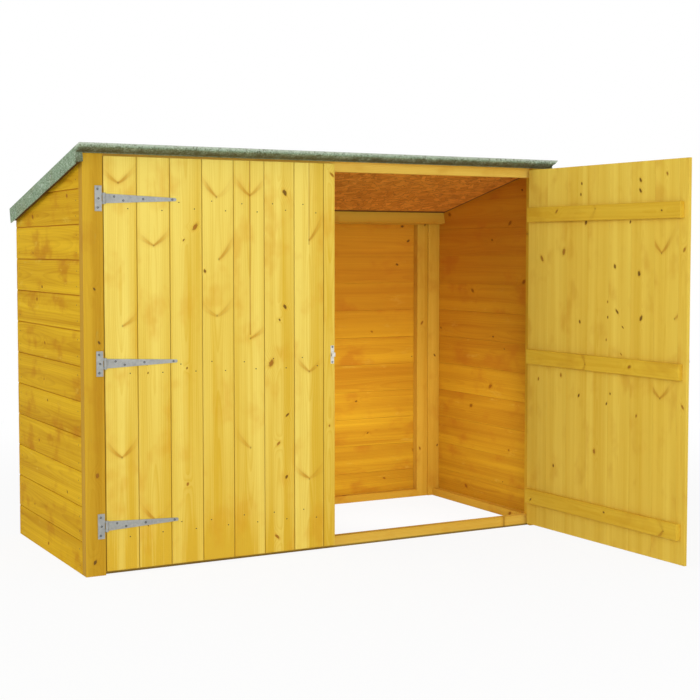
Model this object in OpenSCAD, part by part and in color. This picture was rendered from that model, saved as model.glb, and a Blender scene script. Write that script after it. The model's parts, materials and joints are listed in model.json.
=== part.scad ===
// Timber bike store with a pent roof and two hinged doors.
// The front frame's middle plane is Y = 0, the ground is Z = 0 and X = 0 is mid-width.
// The doors are at the front, towards -Y, and the roof falls to the back.

/* [Overall size] */
// Width over the front posts
frame_w = 1786; // [1400:1:2400]
// Depth from the front of the posts to the back of the rear boards
frame_d = 775; // [600:1:1100]
// Height of the roof deck's underside at the front of the posts
front_h = 1343; // [1100:1:1700]
// Fall of the roof from front to back, in degrees
roof_pitch = 12.5; // [4:0.5:20]

/* [Front frame] */
// Width of each front post
post_w = 66; // [45:1:90]
// Depth of each front post
post_d = 38; // [32:1:60]
// Depth of the sill and of the top rail
rail_d = 28; // [20:1:45]
// Height of the sill
sill_h = 39; // [25:1:60]
// Height of the top rail at its front face
head_h = 37; // [25:1:70]

/* [Walls] */
// Thickness of every wall and door board
board_t = 12; // [9:1:20]
// Depth of the framing behind the wall boards
batten_d = 32; // [22:1:45]
// Depth of the back posts along the side walls
back_post_w = 38; // [36:1:80]
// Width of the back posts across the back wall
back_post_t = 54; // [32:1:80]
// Width of the end battens of the back wall
end_batten_w = 50; // [25:1:60]
// Height of the bottom rails
bottom_rail_h = 30; // [22:1:60]
// Height of the back wall's top rail
back_rail_h = 34; // [22:1:60]

/* [Roof] */
// Thickness of the roof board
deck_t = 11; // [8:1:18]
// Thickness of the felt
felt_t = 3; // [2:0.5:5]
// How far the roof board stands out ahead of the posts
front_overhang = 44; // [30:1:90]
// How far the roof board stands out past each side
side_overhang = 19; // [14:1:60]
// Depth of the bearers below the roof board at each side
bearer_h = 32; // [20:1:60]
// Height that the felt hangs down the sides, from the underside of the roof board
felt_drop = 40; // [20:1:80]
// Thickness of the strip under the front edge of the roof
nosing_t = 5; // [4:1:20]
// Width of the flat underside of that strip
nosing_flat = 12; // [6:1:20]
// Space between that strip and the front of the posts
nosing_gap = 3; // [1:1:6]
// Height of the batten under the roof board, ahead of the back posts
roof_batten_h = 44; // [22:1:60]
// Width of that batten
roof_batten_w = 24; // [22:1:60]

/* [Doors] */
// Clearance between a door and the frame, and between the two doors
door_gap = 5; // [5:0.5:10]
// Clearance between the doors and the roof's front edge
door_top_gap = 7; // [5:0.5:20]
// Height of the doors' lower edge above the ground
door_bottom = 12; // [8:1:40]
// Thickness of the ledges on the doors' inner faces
ledge_t = 18; // [12:1:30]
// Height of each ledge
ledge_h = 54; // [35:1:80]
// Distance from the hinged edge to the ledges
ledge_hinge_inset = 10; // [8:1:60]
// Distance from the meeting edge to the ledges
ledge_free_inset = 20; // [15:1:60]
// Middle of the top ledge below the door's top edge
top_ledge_inset = 165; // [80:1:250]
// Middle of the bottom ledge above the door's lower edge
bottom_ledge_inset = 108; // [60:1:250]
// How far the middle ledge lies below the middle of the door
middle_ledge_drop = 30; // [0:1:80]
// Angle that the right door stands open
right_door_angle = 92; // [0:1:170]

/* [Hinges] */
// Length of a hinge strap from the pin
strap_l = 243; // [150:1:350]
// Height of a strap at its wide end
strap_h = 30; // [24:1:45]
// Height of a strap at its tip
strap_tip = 10; // [6:1:20]
// Thickness of the hinge leaves
hinge_t = 2.5; // [2:0.5:4]
// Height of the plate on the post
plate_h = 80; // [60:1:120]
// Distance from the pin to the far edge of the plate
plate_reach = 29; // [20:1:40]
// Outer radius of the knuckles
knuckle_r = 5; // [4:0.5:7]
// Height of the strap's knuckle
knuckle_h = 18; // [12:1:24]
// Height of each of the plate's knuckles
plate_knuckle_h = 8; // [6:1:12]
// Middle of the top hinge below the door's top edge
top_hinge_inset = 133; // [80:1:250]
// How far the middle hinge and the bolt lie above the middle of the door
middle_hinge_rise = 5; // [0:1:60]
// Middle of the bottom hinge above the door's lower edge
bottom_hinge_inset = 146; // [80:1:250]

/* [Bolt] */
// Width of the keep on the left door
keep_w = 12; // [10:1:25]
// Height of the keep
keep_h = 62; // [40:1:90]
// Thickness of the keep's plate
keep_t = 2; // [1.5:0.5:4]
// Distance from the left door's meeting edge to the keep
keep_inset = 5; // [3:1:20]
// Length of the bolt's plate on the right door
bolt_plate_l = 100; // [60:1:150]
// Height of the bolt's plate
bolt_plate_h = 34; // [25:1:50]
// Radius of the bolt
bolt_r = 4; // [3:0.5:6]
// How far the bolt is drawn back from the door's meeting edge
bolt_inset = 8; // [6:1:20]

/* [Hidden] */
$fn = 48;
// Sloped seats under the roof board are left this far open
seat_gap = 0.3;
// Axial play between knuckles, and the play of a knuckle against the leaves and the wood
knuckle_play = 0.6;
leaf_play = 1.5;
wood_play = 0.5;
// How deep the bolt beds into its plate
bolt_seat = 0.5;

slope = tan(roof_pitch);
half_w = frame_w / 2;
front_y = -(board_t + door_gap + rail_d / 2);
back_y = front_y + frame_d;
rail_y = front_y + board_t + door_gap;
side_y = front_y + post_d;
wall_back_y = back_y - board_t;
back_frame_y = wall_back_y - batten_d;
back_post_y = wall_back_y - back_post_w;
post_in_x = half_w - post_w;
wall_in_x = half_w - board_t;
frame_in_x = wall_in_x - back_post_t;

roof_front = -front_overhang / cos(roof_pitch);
roof_back = frame_d / cos(roof_pitch);
roof_half_w = half_w + side_overhang;

bearer_front = seat_gap - nosing_gap;

nosing_low_z = front_h + nosing_gap * slope - (nosing_t + felt_t) / cos(roof_pitch);
door_top = nosing_low_z - door_top_gap;
door_mid = (door_bottom + door_top) / 2;
latch_z = door_mid + middle_hinge_rise;
door_edge_x = post_in_x - door_gap;
pin_x = post_in_x - door_gap / 2;
pin_y = front_y - knuckle_r - wood_play;
ledge_zs = [door_bottom + bottom_ledge_inset, door_mid - middle_ledge_drop, door_top - top_ledge_inset];
hinge_zs = [door_bottom + bottom_hinge_inset, latch_z, door_top - top_hinge_inset];
leaf_start = knuckle_r + leaf_play;

timber = [0.86, 0.70, 0.32];
board_tone = [0.92, 0.79, 0.40];
inner_tone = [0.82, 0.66, 0.28];
osb_tone = [0.66, 0.42, 0.16];
felt_tone = [0.48, 0.56, 0.46];
zinc_tone = [0.66, 0.67, 0.66];

// Height of the roof board's underside at a depth y
function under_roof(y) = front_h - (y - front_y) * slope;

// Carries an outline drawn in Y and Z along X
module along_x(x0, x1) {
    translate([x0, 0, 0]) rotate([90, 0, 90]) linear_extrude(height = x1 - x0) children();
}

// A box between two corners
module block(low, high) {
    translate(low) cube(high - low);
}

// A piece that stands on z0 and is cut to the roof's slope at its top
module to_roof(x0, x1, y0, y1, z0) {
    along_x(x0, x1) polygon([
        [y0, z0], [y1, z0],
        [y1, under_roof(y1) - seat_gap], [y0, under_roof(y0) - seat_gap]
    ]);
}

// Parts of the left side are the right side's parts mirrored
module left_side() {
    mirror([1, 0, 0]) children();
}

// The roof's own frame: its origin is the roof board's underside above the posts' front,
// Y runs down the slope and Z stands square to it
module on_slope() {
    translate([0, front_y, front_h]) rotate([-roof_pitch, 0, 0]) children();
}

// The right door, swung open on its pins
module right_door_open() {
    translate([pin_x, pin_y, 0]) rotate([0, 0, right_door_angle])
        translate([-pin_x, -pin_y, 0]) children();
}

module front_post() {
    color(timber) to_roof(post_in_x, half_w, front_y, side_y, 0);
}

module front_top_rail() {
    color(timber) to_roof(-post_in_x, post_in_x, rail_y, rail_y + rail_d,
        under_roof(rail_y) - head_h);
}

module front_sill() {
    color(timber) block([-post_in_x, rail_y, 0], [post_in_x, rail_y + rail_d, sill_h]);
}

module side_boards() {
    color(timber) to_roof(wall_in_x, half_w, side_y, wall_back_y, 0);
}

module back_boards() {
    color(timber) to_roof(-half_w, half_w, wall_back_y, back_y, 0);
}

module back_post() {
    color(timber) to_roof(frame_in_x, wall_in_x, back_post_y, wall_back_y, 0);
}

module side_bottom_rail() {
    color(timber) block([wall_in_x - batten_d, side_y, 0],
        [wall_in_x, back_post_y, bottom_rail_h]);
}

module end_batten() {
    color(timber) to_roof(frame_in_x - end_batten_w, frame_in_x, back_frame_y, wall_back_y, 0);
}

module back_top_rail() {
    color(timber) to_roof(-(frame_in_x - end_batten_w), frame_in_x - end_batten_w,
        back_frame_y, wall_back_y, under_roof(wall_back_y) - back_rail_h);
}

module back_bottom_rail() {
    color(timber) block([-(frame_in_x - end_batten_w), back_frame_y, 0],
        [frame_in_x - end_batten_w, wall_back_y, bottom_rail_h]);
}

module roof_deck() {
    color(osb_tone) on_slope()
        block([-roof_half_w, roof_front, 0], [roof_half_w, roof_back, deck_t]);
}

// Wedge under the front edge, which brings the felt back to the frame
module roof_nosing() {
    color(timber) on_slope() along_x(-roof_half_w, roof_half_w) polygon([
        [roof_front + 2 * seat_gap, 0], [-nosing_gap, 0],
        [-nosing_gap, -nosing_t + seat_gap],
        [-nosing_gap - nosing_flat + 2 * seat_gap, -nosing_t + seat_gap]
    ]);
}

// Batten that locates the roof against the back posts
module roof_back_batten() {
    batten_back = (back_post_y - front_y) / cos(roof_pitch) - roof_batten_h * slope;
    color(timber) on_slope() block(
        [seat_gap - wall_in_x, batten_back - roof_batten_w, -roof_batten_h],
        [wall_in_x - seat_gap, batten_back, 0]);
}

module roof_bearer() {
    color(timber) on_slope()
        block([half_w + seat_gap, bearer_front, -bearer_h], [roof_half_w, roof_back, 0]);
}

// Felt turned down over the bearers at one side
module felt_side() {
    block([roof_half_w, bearer_front, -felt_drop],
        [roof_half_w + felt_t, roof_back + felt_t, deck_t + felt_t]);
    block([roof_half_w, roof_front - felt_t, 0],
        [roof_half_w + felt_t, bearer_front, deck_t + felt_t]);
}

module roof_felt() {
    color(felt_tone) on_slope() union() {
        along_x(-roof_half_w, roof_half_w) polygon([
            [roof_back + felt_t, 0], [roof_back + felt_t, deck_t + felt_t],
            [roof_front - felt_t, deck_t + felt_t], [roof_front - felt_t, -felt_t / 2],
            [-nosing_gap - nosing_flat - felt_t / 2, -nosing_t - felt_t],
            [-nosing_gap, -nosing_t - felt_t], [-nosing_gap, -nosing_t],
            [-nosing_gap - nosing_flat, -nosing_t],
            [roof_front, 0], [roof_front, deck_t],
            [roof_back, deck_t], [roof_back, 0]
        ]);
        felt_side();
        mirror([1, 0, 0]) felt_side();
    }
}

module door_boards() {
    color(board_tone) block([door_gap / 2, front_y, door_bottom],
        [door_edge_x, front_y + board_t, door_top]);
}

module door_ledge(z) {
    color(inner_tone) block(
        [door_gap / 2 + ledge_free_inset, front_y + board_t, z - ledge_h / 2],
        [door_edge_x - ledge_hinge_inset, front_y + board_t + ledge_t, z + ledge_h / 2]);
}

// Tapered hinge strap on the door's outer face, with the middle knuckle
module strap(z) {
    color(zinc_tone) translate([pin_x, 0, z]) {
        translate([0, front_y, 0]) rotate([90, 0, 0]) linear_extrude(height = hinge_t) {
            polygon([
                [-leaf_start, -strap_h / 2], [-leaf_start, strap_h / 2],
                [-strap_l + strap_tip / 2, strap_tip / 2],
                [-strap_l + strap_tip / 2, -strap_tip / 2]
            ]);
            translate([-strap_l + strap_tip / 2, 0]) circle(strap_tip / 2);
            translate([-leaf_start, -knuckle_h / 2]) square([leaf_start, knuckle_h]);
        }
        translate([0, pin_y, -knuckle_h / 2]) cylinder(h = knuckle_h, r = knuckle_r);
    }
}

// Upright plate on the post, with a knuckle above and below the strap's own
module plate(z) {
    tab_z = knuckle_h / 2 + knuckle_play;
    color(zinc_tone) translate([pin_x, 0, z]) {
        translate([0, front_y, 0]) rotate([90, 0, 0]) linear_extrude(height = hinge_t) {
            translate([leaf_start, -plate_h / 2]) square([plate_reach - leaf_start, plate_h]);
            translate([0, tab_z]) square([leaf_start, plate_knuckle_h]);
            translate([0, -tab_z - plate_knuckle_h]) square([leaf_start, plate_knuckle_h]);
        }
        translate([0, pin_y, tab_z]) cylinder(h = plate_knuckle_h, r = knuckle_r);
        translate([0, pin_y, -tab_z - plate_knuckle_h])
            cylinder(h = plate_knuckle_h, r = knuckle_r);
    }
}

// Plate with a low loop, which takes the bolt
module door_keep() {
    loop_h = 2 * bolt_r + 2 * keep_t + 2;
    color(zinc_tone) translate([door_gap / 2 + keep_inset, front_y, latch_z]) {
        translate([0, -keep_t, -keep_h / 2]) cube([keep_w, keep_t, keep_h]);
        difference() {
            translate([0, -loop_h + keep_t, -loop_h / 2]) cube([keep_w, loop_h - 2 * keep_t, loop_h]);
            translate([-1, -loop_h + 2 * keep_t, -loop_h / 2 + keep_t])
                cube([keep_w + 2, loop_h, loop_h - 2 * keep_t]);
        }
    }
}

// Plain bolt on the right door, drawn back
module door_bolt() {
    bolt_x = door_gap / 2 + bolt_inset;
    bolt_y = front_y - keep_t - bolt_r + bolt_seat;
    color(zinc_tone) translate([bolt_x, 0, latch_z]) {
        translate([0, front_y - keep_t, -bolt_plate_h / 2])
            cube([bolt_plate_l, keep_t, bolt_plate_h]);
        translate([0, bolt_y, 0]) rotate([0, 90, 0]) cylinder(h = bolt_plate_l, r = bolt_r);
        for (x = [bolt_plate_l / 10, bolt_plate_l * 7 / 10])
            translate([x, bolt_y - bolt_r - keep_t, -bolt_r - keep_t])
                cube([bolt_plate_l / 5, bolt_r * 2 + keep_t, 2 * (bolt_r + keep_t)]);
    }
}

left_side() front_post();  // left_front_post
front_post();  // right_front_post
front_top_rail();
front_sill();
left_side() side_boards();  // left_side_boards
side_boards();  // right_side_boards
back_boards();
left_side() back_post();  // left_back_post
back_post();  // right_back_post
left_side() side_bottom_rail();  // left_bottom_rail
side_bottom_rail();  // right_bottom_rail
left_side() end_batten();  // back_left_batten
end_batten();  // back_right_batten
back_top_rail();
back_bottom_rail();
roof_deck();
roof_felt();
roof_nosing();
roof_back_batten();
left_side() roof_bearer();  // left_roof_bearer
roof_bearer();  // right_roof_bearer
left_side() door_boards();  // left_door_boards
left_side() door_ledge(ledge_zs[0]);  // left_door_bottom_ledge
left_side() door_ledge(ledge_zs[1]);  // left_door_middle_ledge
left_side() door_ledge(ledge_zs[2]);  // left_door_top_ledge
left_side() strap(hinge_zs[0]);  // left_bottom_strap
left_side() strap(hinge_zs[1]);  // left_middle_strap
left_side() strap(hinge_zs[2]);  // left_top_strap
left_side() plate(hinge_zs[0]);  // left_bottom_plate
left_side() plate(hinge_zs[1]);  // left_middle_plate
left_side() plate(hinge_zs[2]);  // left_top_plate
right_door_open() door_boards();  // right_door_boards
right_door_open() door_ledge(ledge_zs[0]);  // right_door_bottom_ledge
right_door_open() door_ledge(ledge_zs[1]);  // right_door_middle_ledge
right_door_open() door_ledge(ledge_zs[2]);  // right_door_top_ledge
right_door_open() strap(hinge_zs[0]);  // right_bottom_strap
right_door_open() strap(hinge_zs[1]);  // right_middle_strap
right_door_open() strap(hinge_zs[2]);  // right_top_strap
plate(hinge_zs[0]);  // right_bottom_plate
plate(hinge_zs[1]);  // right_middle_plate
plate(hinge_zs[2]);  // right_top_plate
left_side() door_keep();  // left_door_keep
right_door_open() door_bolt();  // right_door_bolt
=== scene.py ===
"""Looks of a timber bike store with a pent roof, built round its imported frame."""

import json
import logging
import math
from dataclasses import dataclass, field, replace
from enum import Enum
from functools import lru_cache
from typing import ClassVar, Iterable, Sequence

import bpy
import numpy as np
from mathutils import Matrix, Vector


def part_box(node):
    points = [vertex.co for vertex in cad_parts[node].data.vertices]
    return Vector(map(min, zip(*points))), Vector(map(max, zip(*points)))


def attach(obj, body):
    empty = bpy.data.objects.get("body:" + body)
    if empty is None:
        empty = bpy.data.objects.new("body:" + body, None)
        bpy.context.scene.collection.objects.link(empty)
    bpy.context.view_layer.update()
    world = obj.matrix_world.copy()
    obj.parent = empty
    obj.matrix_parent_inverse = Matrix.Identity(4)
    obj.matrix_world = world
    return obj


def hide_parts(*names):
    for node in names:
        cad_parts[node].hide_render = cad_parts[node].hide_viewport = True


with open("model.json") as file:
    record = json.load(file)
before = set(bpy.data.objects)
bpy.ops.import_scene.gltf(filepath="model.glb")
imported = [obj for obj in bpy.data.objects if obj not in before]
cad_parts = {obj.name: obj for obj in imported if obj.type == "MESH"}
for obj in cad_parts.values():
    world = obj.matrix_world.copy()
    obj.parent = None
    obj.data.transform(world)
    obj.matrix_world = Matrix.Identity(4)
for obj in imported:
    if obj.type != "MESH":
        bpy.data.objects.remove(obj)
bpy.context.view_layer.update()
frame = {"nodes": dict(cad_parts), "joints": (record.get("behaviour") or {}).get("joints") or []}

LOG = logging.getLogger("bike_store")

ROOF_PITCH = math.radians(12.5)
SLOPE = math.tan(ROOF_PITCH)
TRUE_X = np.array([1.0, 0.0, 0.0])
TRUE_Y = np.array([0.0, 1.0, 0.0])
TRUE_Z = np.array([0.0, 0.0, 1.0])
SEED = 7341

# The roof, along its slope from the posts' front and either side of the middle
ROOF_BACK = 0.79380
ROOF_HALF_WIDTH = 0.912
FELT_THICKNESS = 0.003
# Play left between timbers that meet
SEAT_GAP = 0.0003
# How much is planed off each edge of a timber
ARRIS = 0.0012
# Where a door's ledges and hinges sit
LEDGE_PLACES = ("bottom", "middle", "top")

Rgb = tuple[int, int, int]
Pair = tuple[float, float]
Triple = tuple[float, float, float]
Material = bpy.types.Material


# ---------------------------------------------------------------- colours and shader maths


def paint(colour: Rgb) -> tuple[float, ...]:
    """A colour from a paint chart as the linear colour that a shader takes.

    Args:
        colour: red, green and blue from 0 to 255.

    Returns:
        Linear red, green, blue and an alpha of 1.
    """
    chart = np.array(colour) / 255.0
    linear = np.where(chart <= 0.04045, chart / 12.92, ((chart + 0.055) / 1.055) ** 2.4)
    return (*linear.tolist(), 1.0)


class Value:
    """A socket of a material's nodes, with arithmetic that adds the nodes for it."""

    def __init__(self, bench: "Bench", socket: bpy.types.NodeSocket) -> None:
        """Wraps a socket on its bench."""
        self.bench = bench
        self.socket = socket

    @property
    def is_vector(self) -> bool:
        """Whether the socket carries a vector."""
        return self.socket.type == "VECTOR"

    def _join(self, operation: str, *others: "Value | float") -> "Value":
        """One Math node, or a Vector Math node where a vector takes part."""
        vectors = self.is_vector or any(isinstance(o, Value) and o.is_vector for o in others)
        kind = "VectorMath" if vectors else "Math"
        inputs = {i: (o if isinstance(o, Value) or not vectors else (o, o, o))
                  for i, o in enumerate([self, *others])}
        return self.bench.node(kind, {"operation": operation}, inputs)

    def __add__(self, other: "Value | float") -> "Value":
        """Sum."""
        return self._join("ADD", other)

    __radd__ = __add__

    def __mul__(self, other: "Value | float") -> "Value":
        """Product."""
        return self._join("MULTIPLY", other)

    __rmul__ = __mul__

    def __sub__(self, other: "Value | float") -> "Value":
        """Difference."""
        return self._join("SUBTRACT", other)

    def __rsub__(self, other: float) -> "Value":
        """A number less this value."""
        return self * -1.0 + other

    def __truediv__(self, other: "Value | float") -> "Value":
        """Quotient."""
        return self._join("DIVIDE", other)

    def __abs__(self) -> "Value":
        """Size without its sign."""
        return self._join("ABSOLUTE")

    def root(self) -> "Value":
        """Square root."""
        return self._join("SQRT")

    def fraction(self) -> "Value":
        """What is left over the whole number below."""
        return self._join("FRACT")

    def above(self, limit: "Value | float") -> "Value":
        """1 where this value is above the limit and 0 elsewhere."""
        return self._join("GREATER_THAN", limit)

    def most(self, other: "Value | float") -> "Value":
        """The larger of the two."""
        return self._join("MAXIMUM", other)

    def least(self, other: "Value | float") -> "Value":
        """The smaller of the two."""
        return self._join("MINIMUM", other)

    def bell(self) -> "Value":
        """The bell curve exp(-x * x)."""
        return (self * self * -1.0)._join("EXPONENT")

    def clipped(self) -> "Value":
        """The value held between 0 and 1."""
        return self.most(0.0).least(1.0)

    def rise(self, start: float, end: float) -> "Value":
        """A smooth step from 0 at start to 1 at end; start may be the larger."""
        t = ((self - start) * (1.0 / (end - start))).clipped()
        return t * t * (3.0 - 2.0 * t)

    def parts(self) -> tuple["Value", "Value", "Value"]:
        """The three parts of a vector."""
        node = self.bench.raw_node("SeparateXYZ", {}, {0: self})
        return tuple(Value(self.bench, s) for s in node.outputs)


class Bench:
    """A material in the making, with one method that adds any node."""

    def __init__(self, holder: Material | bpy.types.World) -> None:
        """Clears the nodes of a material or a world, to work on."""
        self.holder = holder
        holder.use_nodes = True
        self.tree = holder.node_tree
        self.tree.nodes.clear()

    @classmethod
    def named(cls, name: str) -> "Bench":
        """A bench with a new material on it."""
        return cls(bpy.data.materials.new(name))

    def raw_node(self, kind: str, settings: dict, inputs: dict) -> bpy.types.Node:
        """Adds a node, with its settings made before its sockets are filled.

        Args:
            kind: the node's type, such as "Math".
            settings: the node's own properties.
            inputs: values or links by socket name or number.

        Returns:
            The new node.
        """
        node = self.tree.nodes.new("ShaderNode" + kind)
        for name, value in settings.items():
            setattr(node, name, value)
        for key, value in inputs.items():
            if isinstance(value, Value):
                self.tree.links.new(value.socket, node.inputs[key])
            else:
                node.inputs[key].default_value = value
        return node

    def node(self, kind: str, settings: dict, inputs: dict, output: int | str = 0) -> Value:
        """Adds a node and returns one of its outputs.

        Args:
            kind: the node's type, such as "Math".
            settings: the node's own properties.
            inputs: values or links by socket name or number.
            output: name or number of the output wanted.

        Returns:
            The output as a Value.
        """
        return Value(self, self.raw_node(kind, settings, inputs).outputs[output])

    def attribute(self, name: str) -> Value:
        """A vector attribute of the mesh."""
        return self.node("Attribute", {"attribute_name": name}, {}, "Vector")

    def place(self) -> Value:
        """The point on the object, in its own metres."""
        return self.node("TexCoord", {}, {}, "Object")

    def vector(self, x: Value | float, y: Value | float, z: Value | float) -> Value:
        """Three values as one vector."""
        return self.node("CombineXYZ", {}, {0: x, 1: y, 2: z})

    def noise(self, at: Value, scale: float, detail: float = 2.0, rough: float = 0.5) -> Value:
        """Soft noise about 0.5."""
        return self.node("TexNoise", {},
                         {"Vector": at, "Scale": scale, "Detail": detail, "Roughness": rough})

    def blend(self, factor: Value | float, first: Value | tuple, second: Value | tuple) -> Value:
        """A colour between two colours."""
        return self.node("Mix", {"data_type": "RGBA"}, {0: factor, 6: first, 7: second}, 2)

    def bump(self, height: Value, distance: float, strength: float = 1.0) -> Value:
        """A normal that follows the height, whose full range is distance in metres."""
        return self.node("Bump", {},
                         {"Strength": strength, "Distance": distance, "Height": height})

    def finish(self, **sockets: Value | float | tuple) -> Material:
        """Ends the material with a Principled shader.

        Args:
            sockets: shader sockets, with an underscore for each space in their names.

        Returns:
            The finished material.
        """
        inputs = {name.replace("_", " "): value for name, value in sockets.items()}
        shader = self.node("BsdfPrincipled", {}, inputs)
        self.raw_node("OutputMaterial", {}, {0: shader})
        return self.holder


# ---------------------------------------------------------------- finishes


class TimberShader:
    """The values that every part of a timber's finish reads from the mesh.

    across, deep and along are the point in the tree, off and up its distance from the
    nearest knot, size that knot's size, oval and arms its kind, and reach how far up and
    down the knot disturbs the grain.
    """

    def __init__(self, name: str) -> None:
        """Reads the grain, whorl, branch, board and heart attributes."""
        b = self.bench = Bench.named(name)
        self.across, self.deep, self.along = b.attribute("grain").parts()
        self.off, self.up, self.size = b.attribute("whorl").parts()
        self.oval, self.arms, self.reach = b.attribute("branch").parts()
        self.tone, self.halves, self.phase = b.attribute("board").parts()
        self.heart = b.attribute("heart").parts()
        self.place = b.place().parts()
        self.knotty = self.oval.least(1.0)
        self.sway = self.grain_noise((9.0, 9.0, 3.0), 2.0, start=5.0)
        self.streak = self.grain_noise((95.0, 60.0, 1.6), 3.0, 0.6)
        self.band = b.noise(
            b.vector(self.across * 26.0 + self.phase, self.deep * 18.0, self.along * 0.8),
            1.0, 1.0)

    def grain_noise(self, scale: Triple, detail: float, rough: float = 0.5,
                    start: float = 0.0, lift: float = 0.0) -> Value:
        """Noise stretched along the grain.

        Args:
            scale: how fine it is across, deep and along.
            detail: octaves of the noise.
            rough: how strong each finer octave is.
            start: shift across.
            lift: shift along.

        Returns:
            The noise, about 0.5.
        """
        b = self.bench
        at = b.vector(self.across * scale[0] + start, self.deep * scale[1],
                      self.along * scale[2] + lift)
        return b.noise(at, 1.0, detail, rough)


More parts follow.
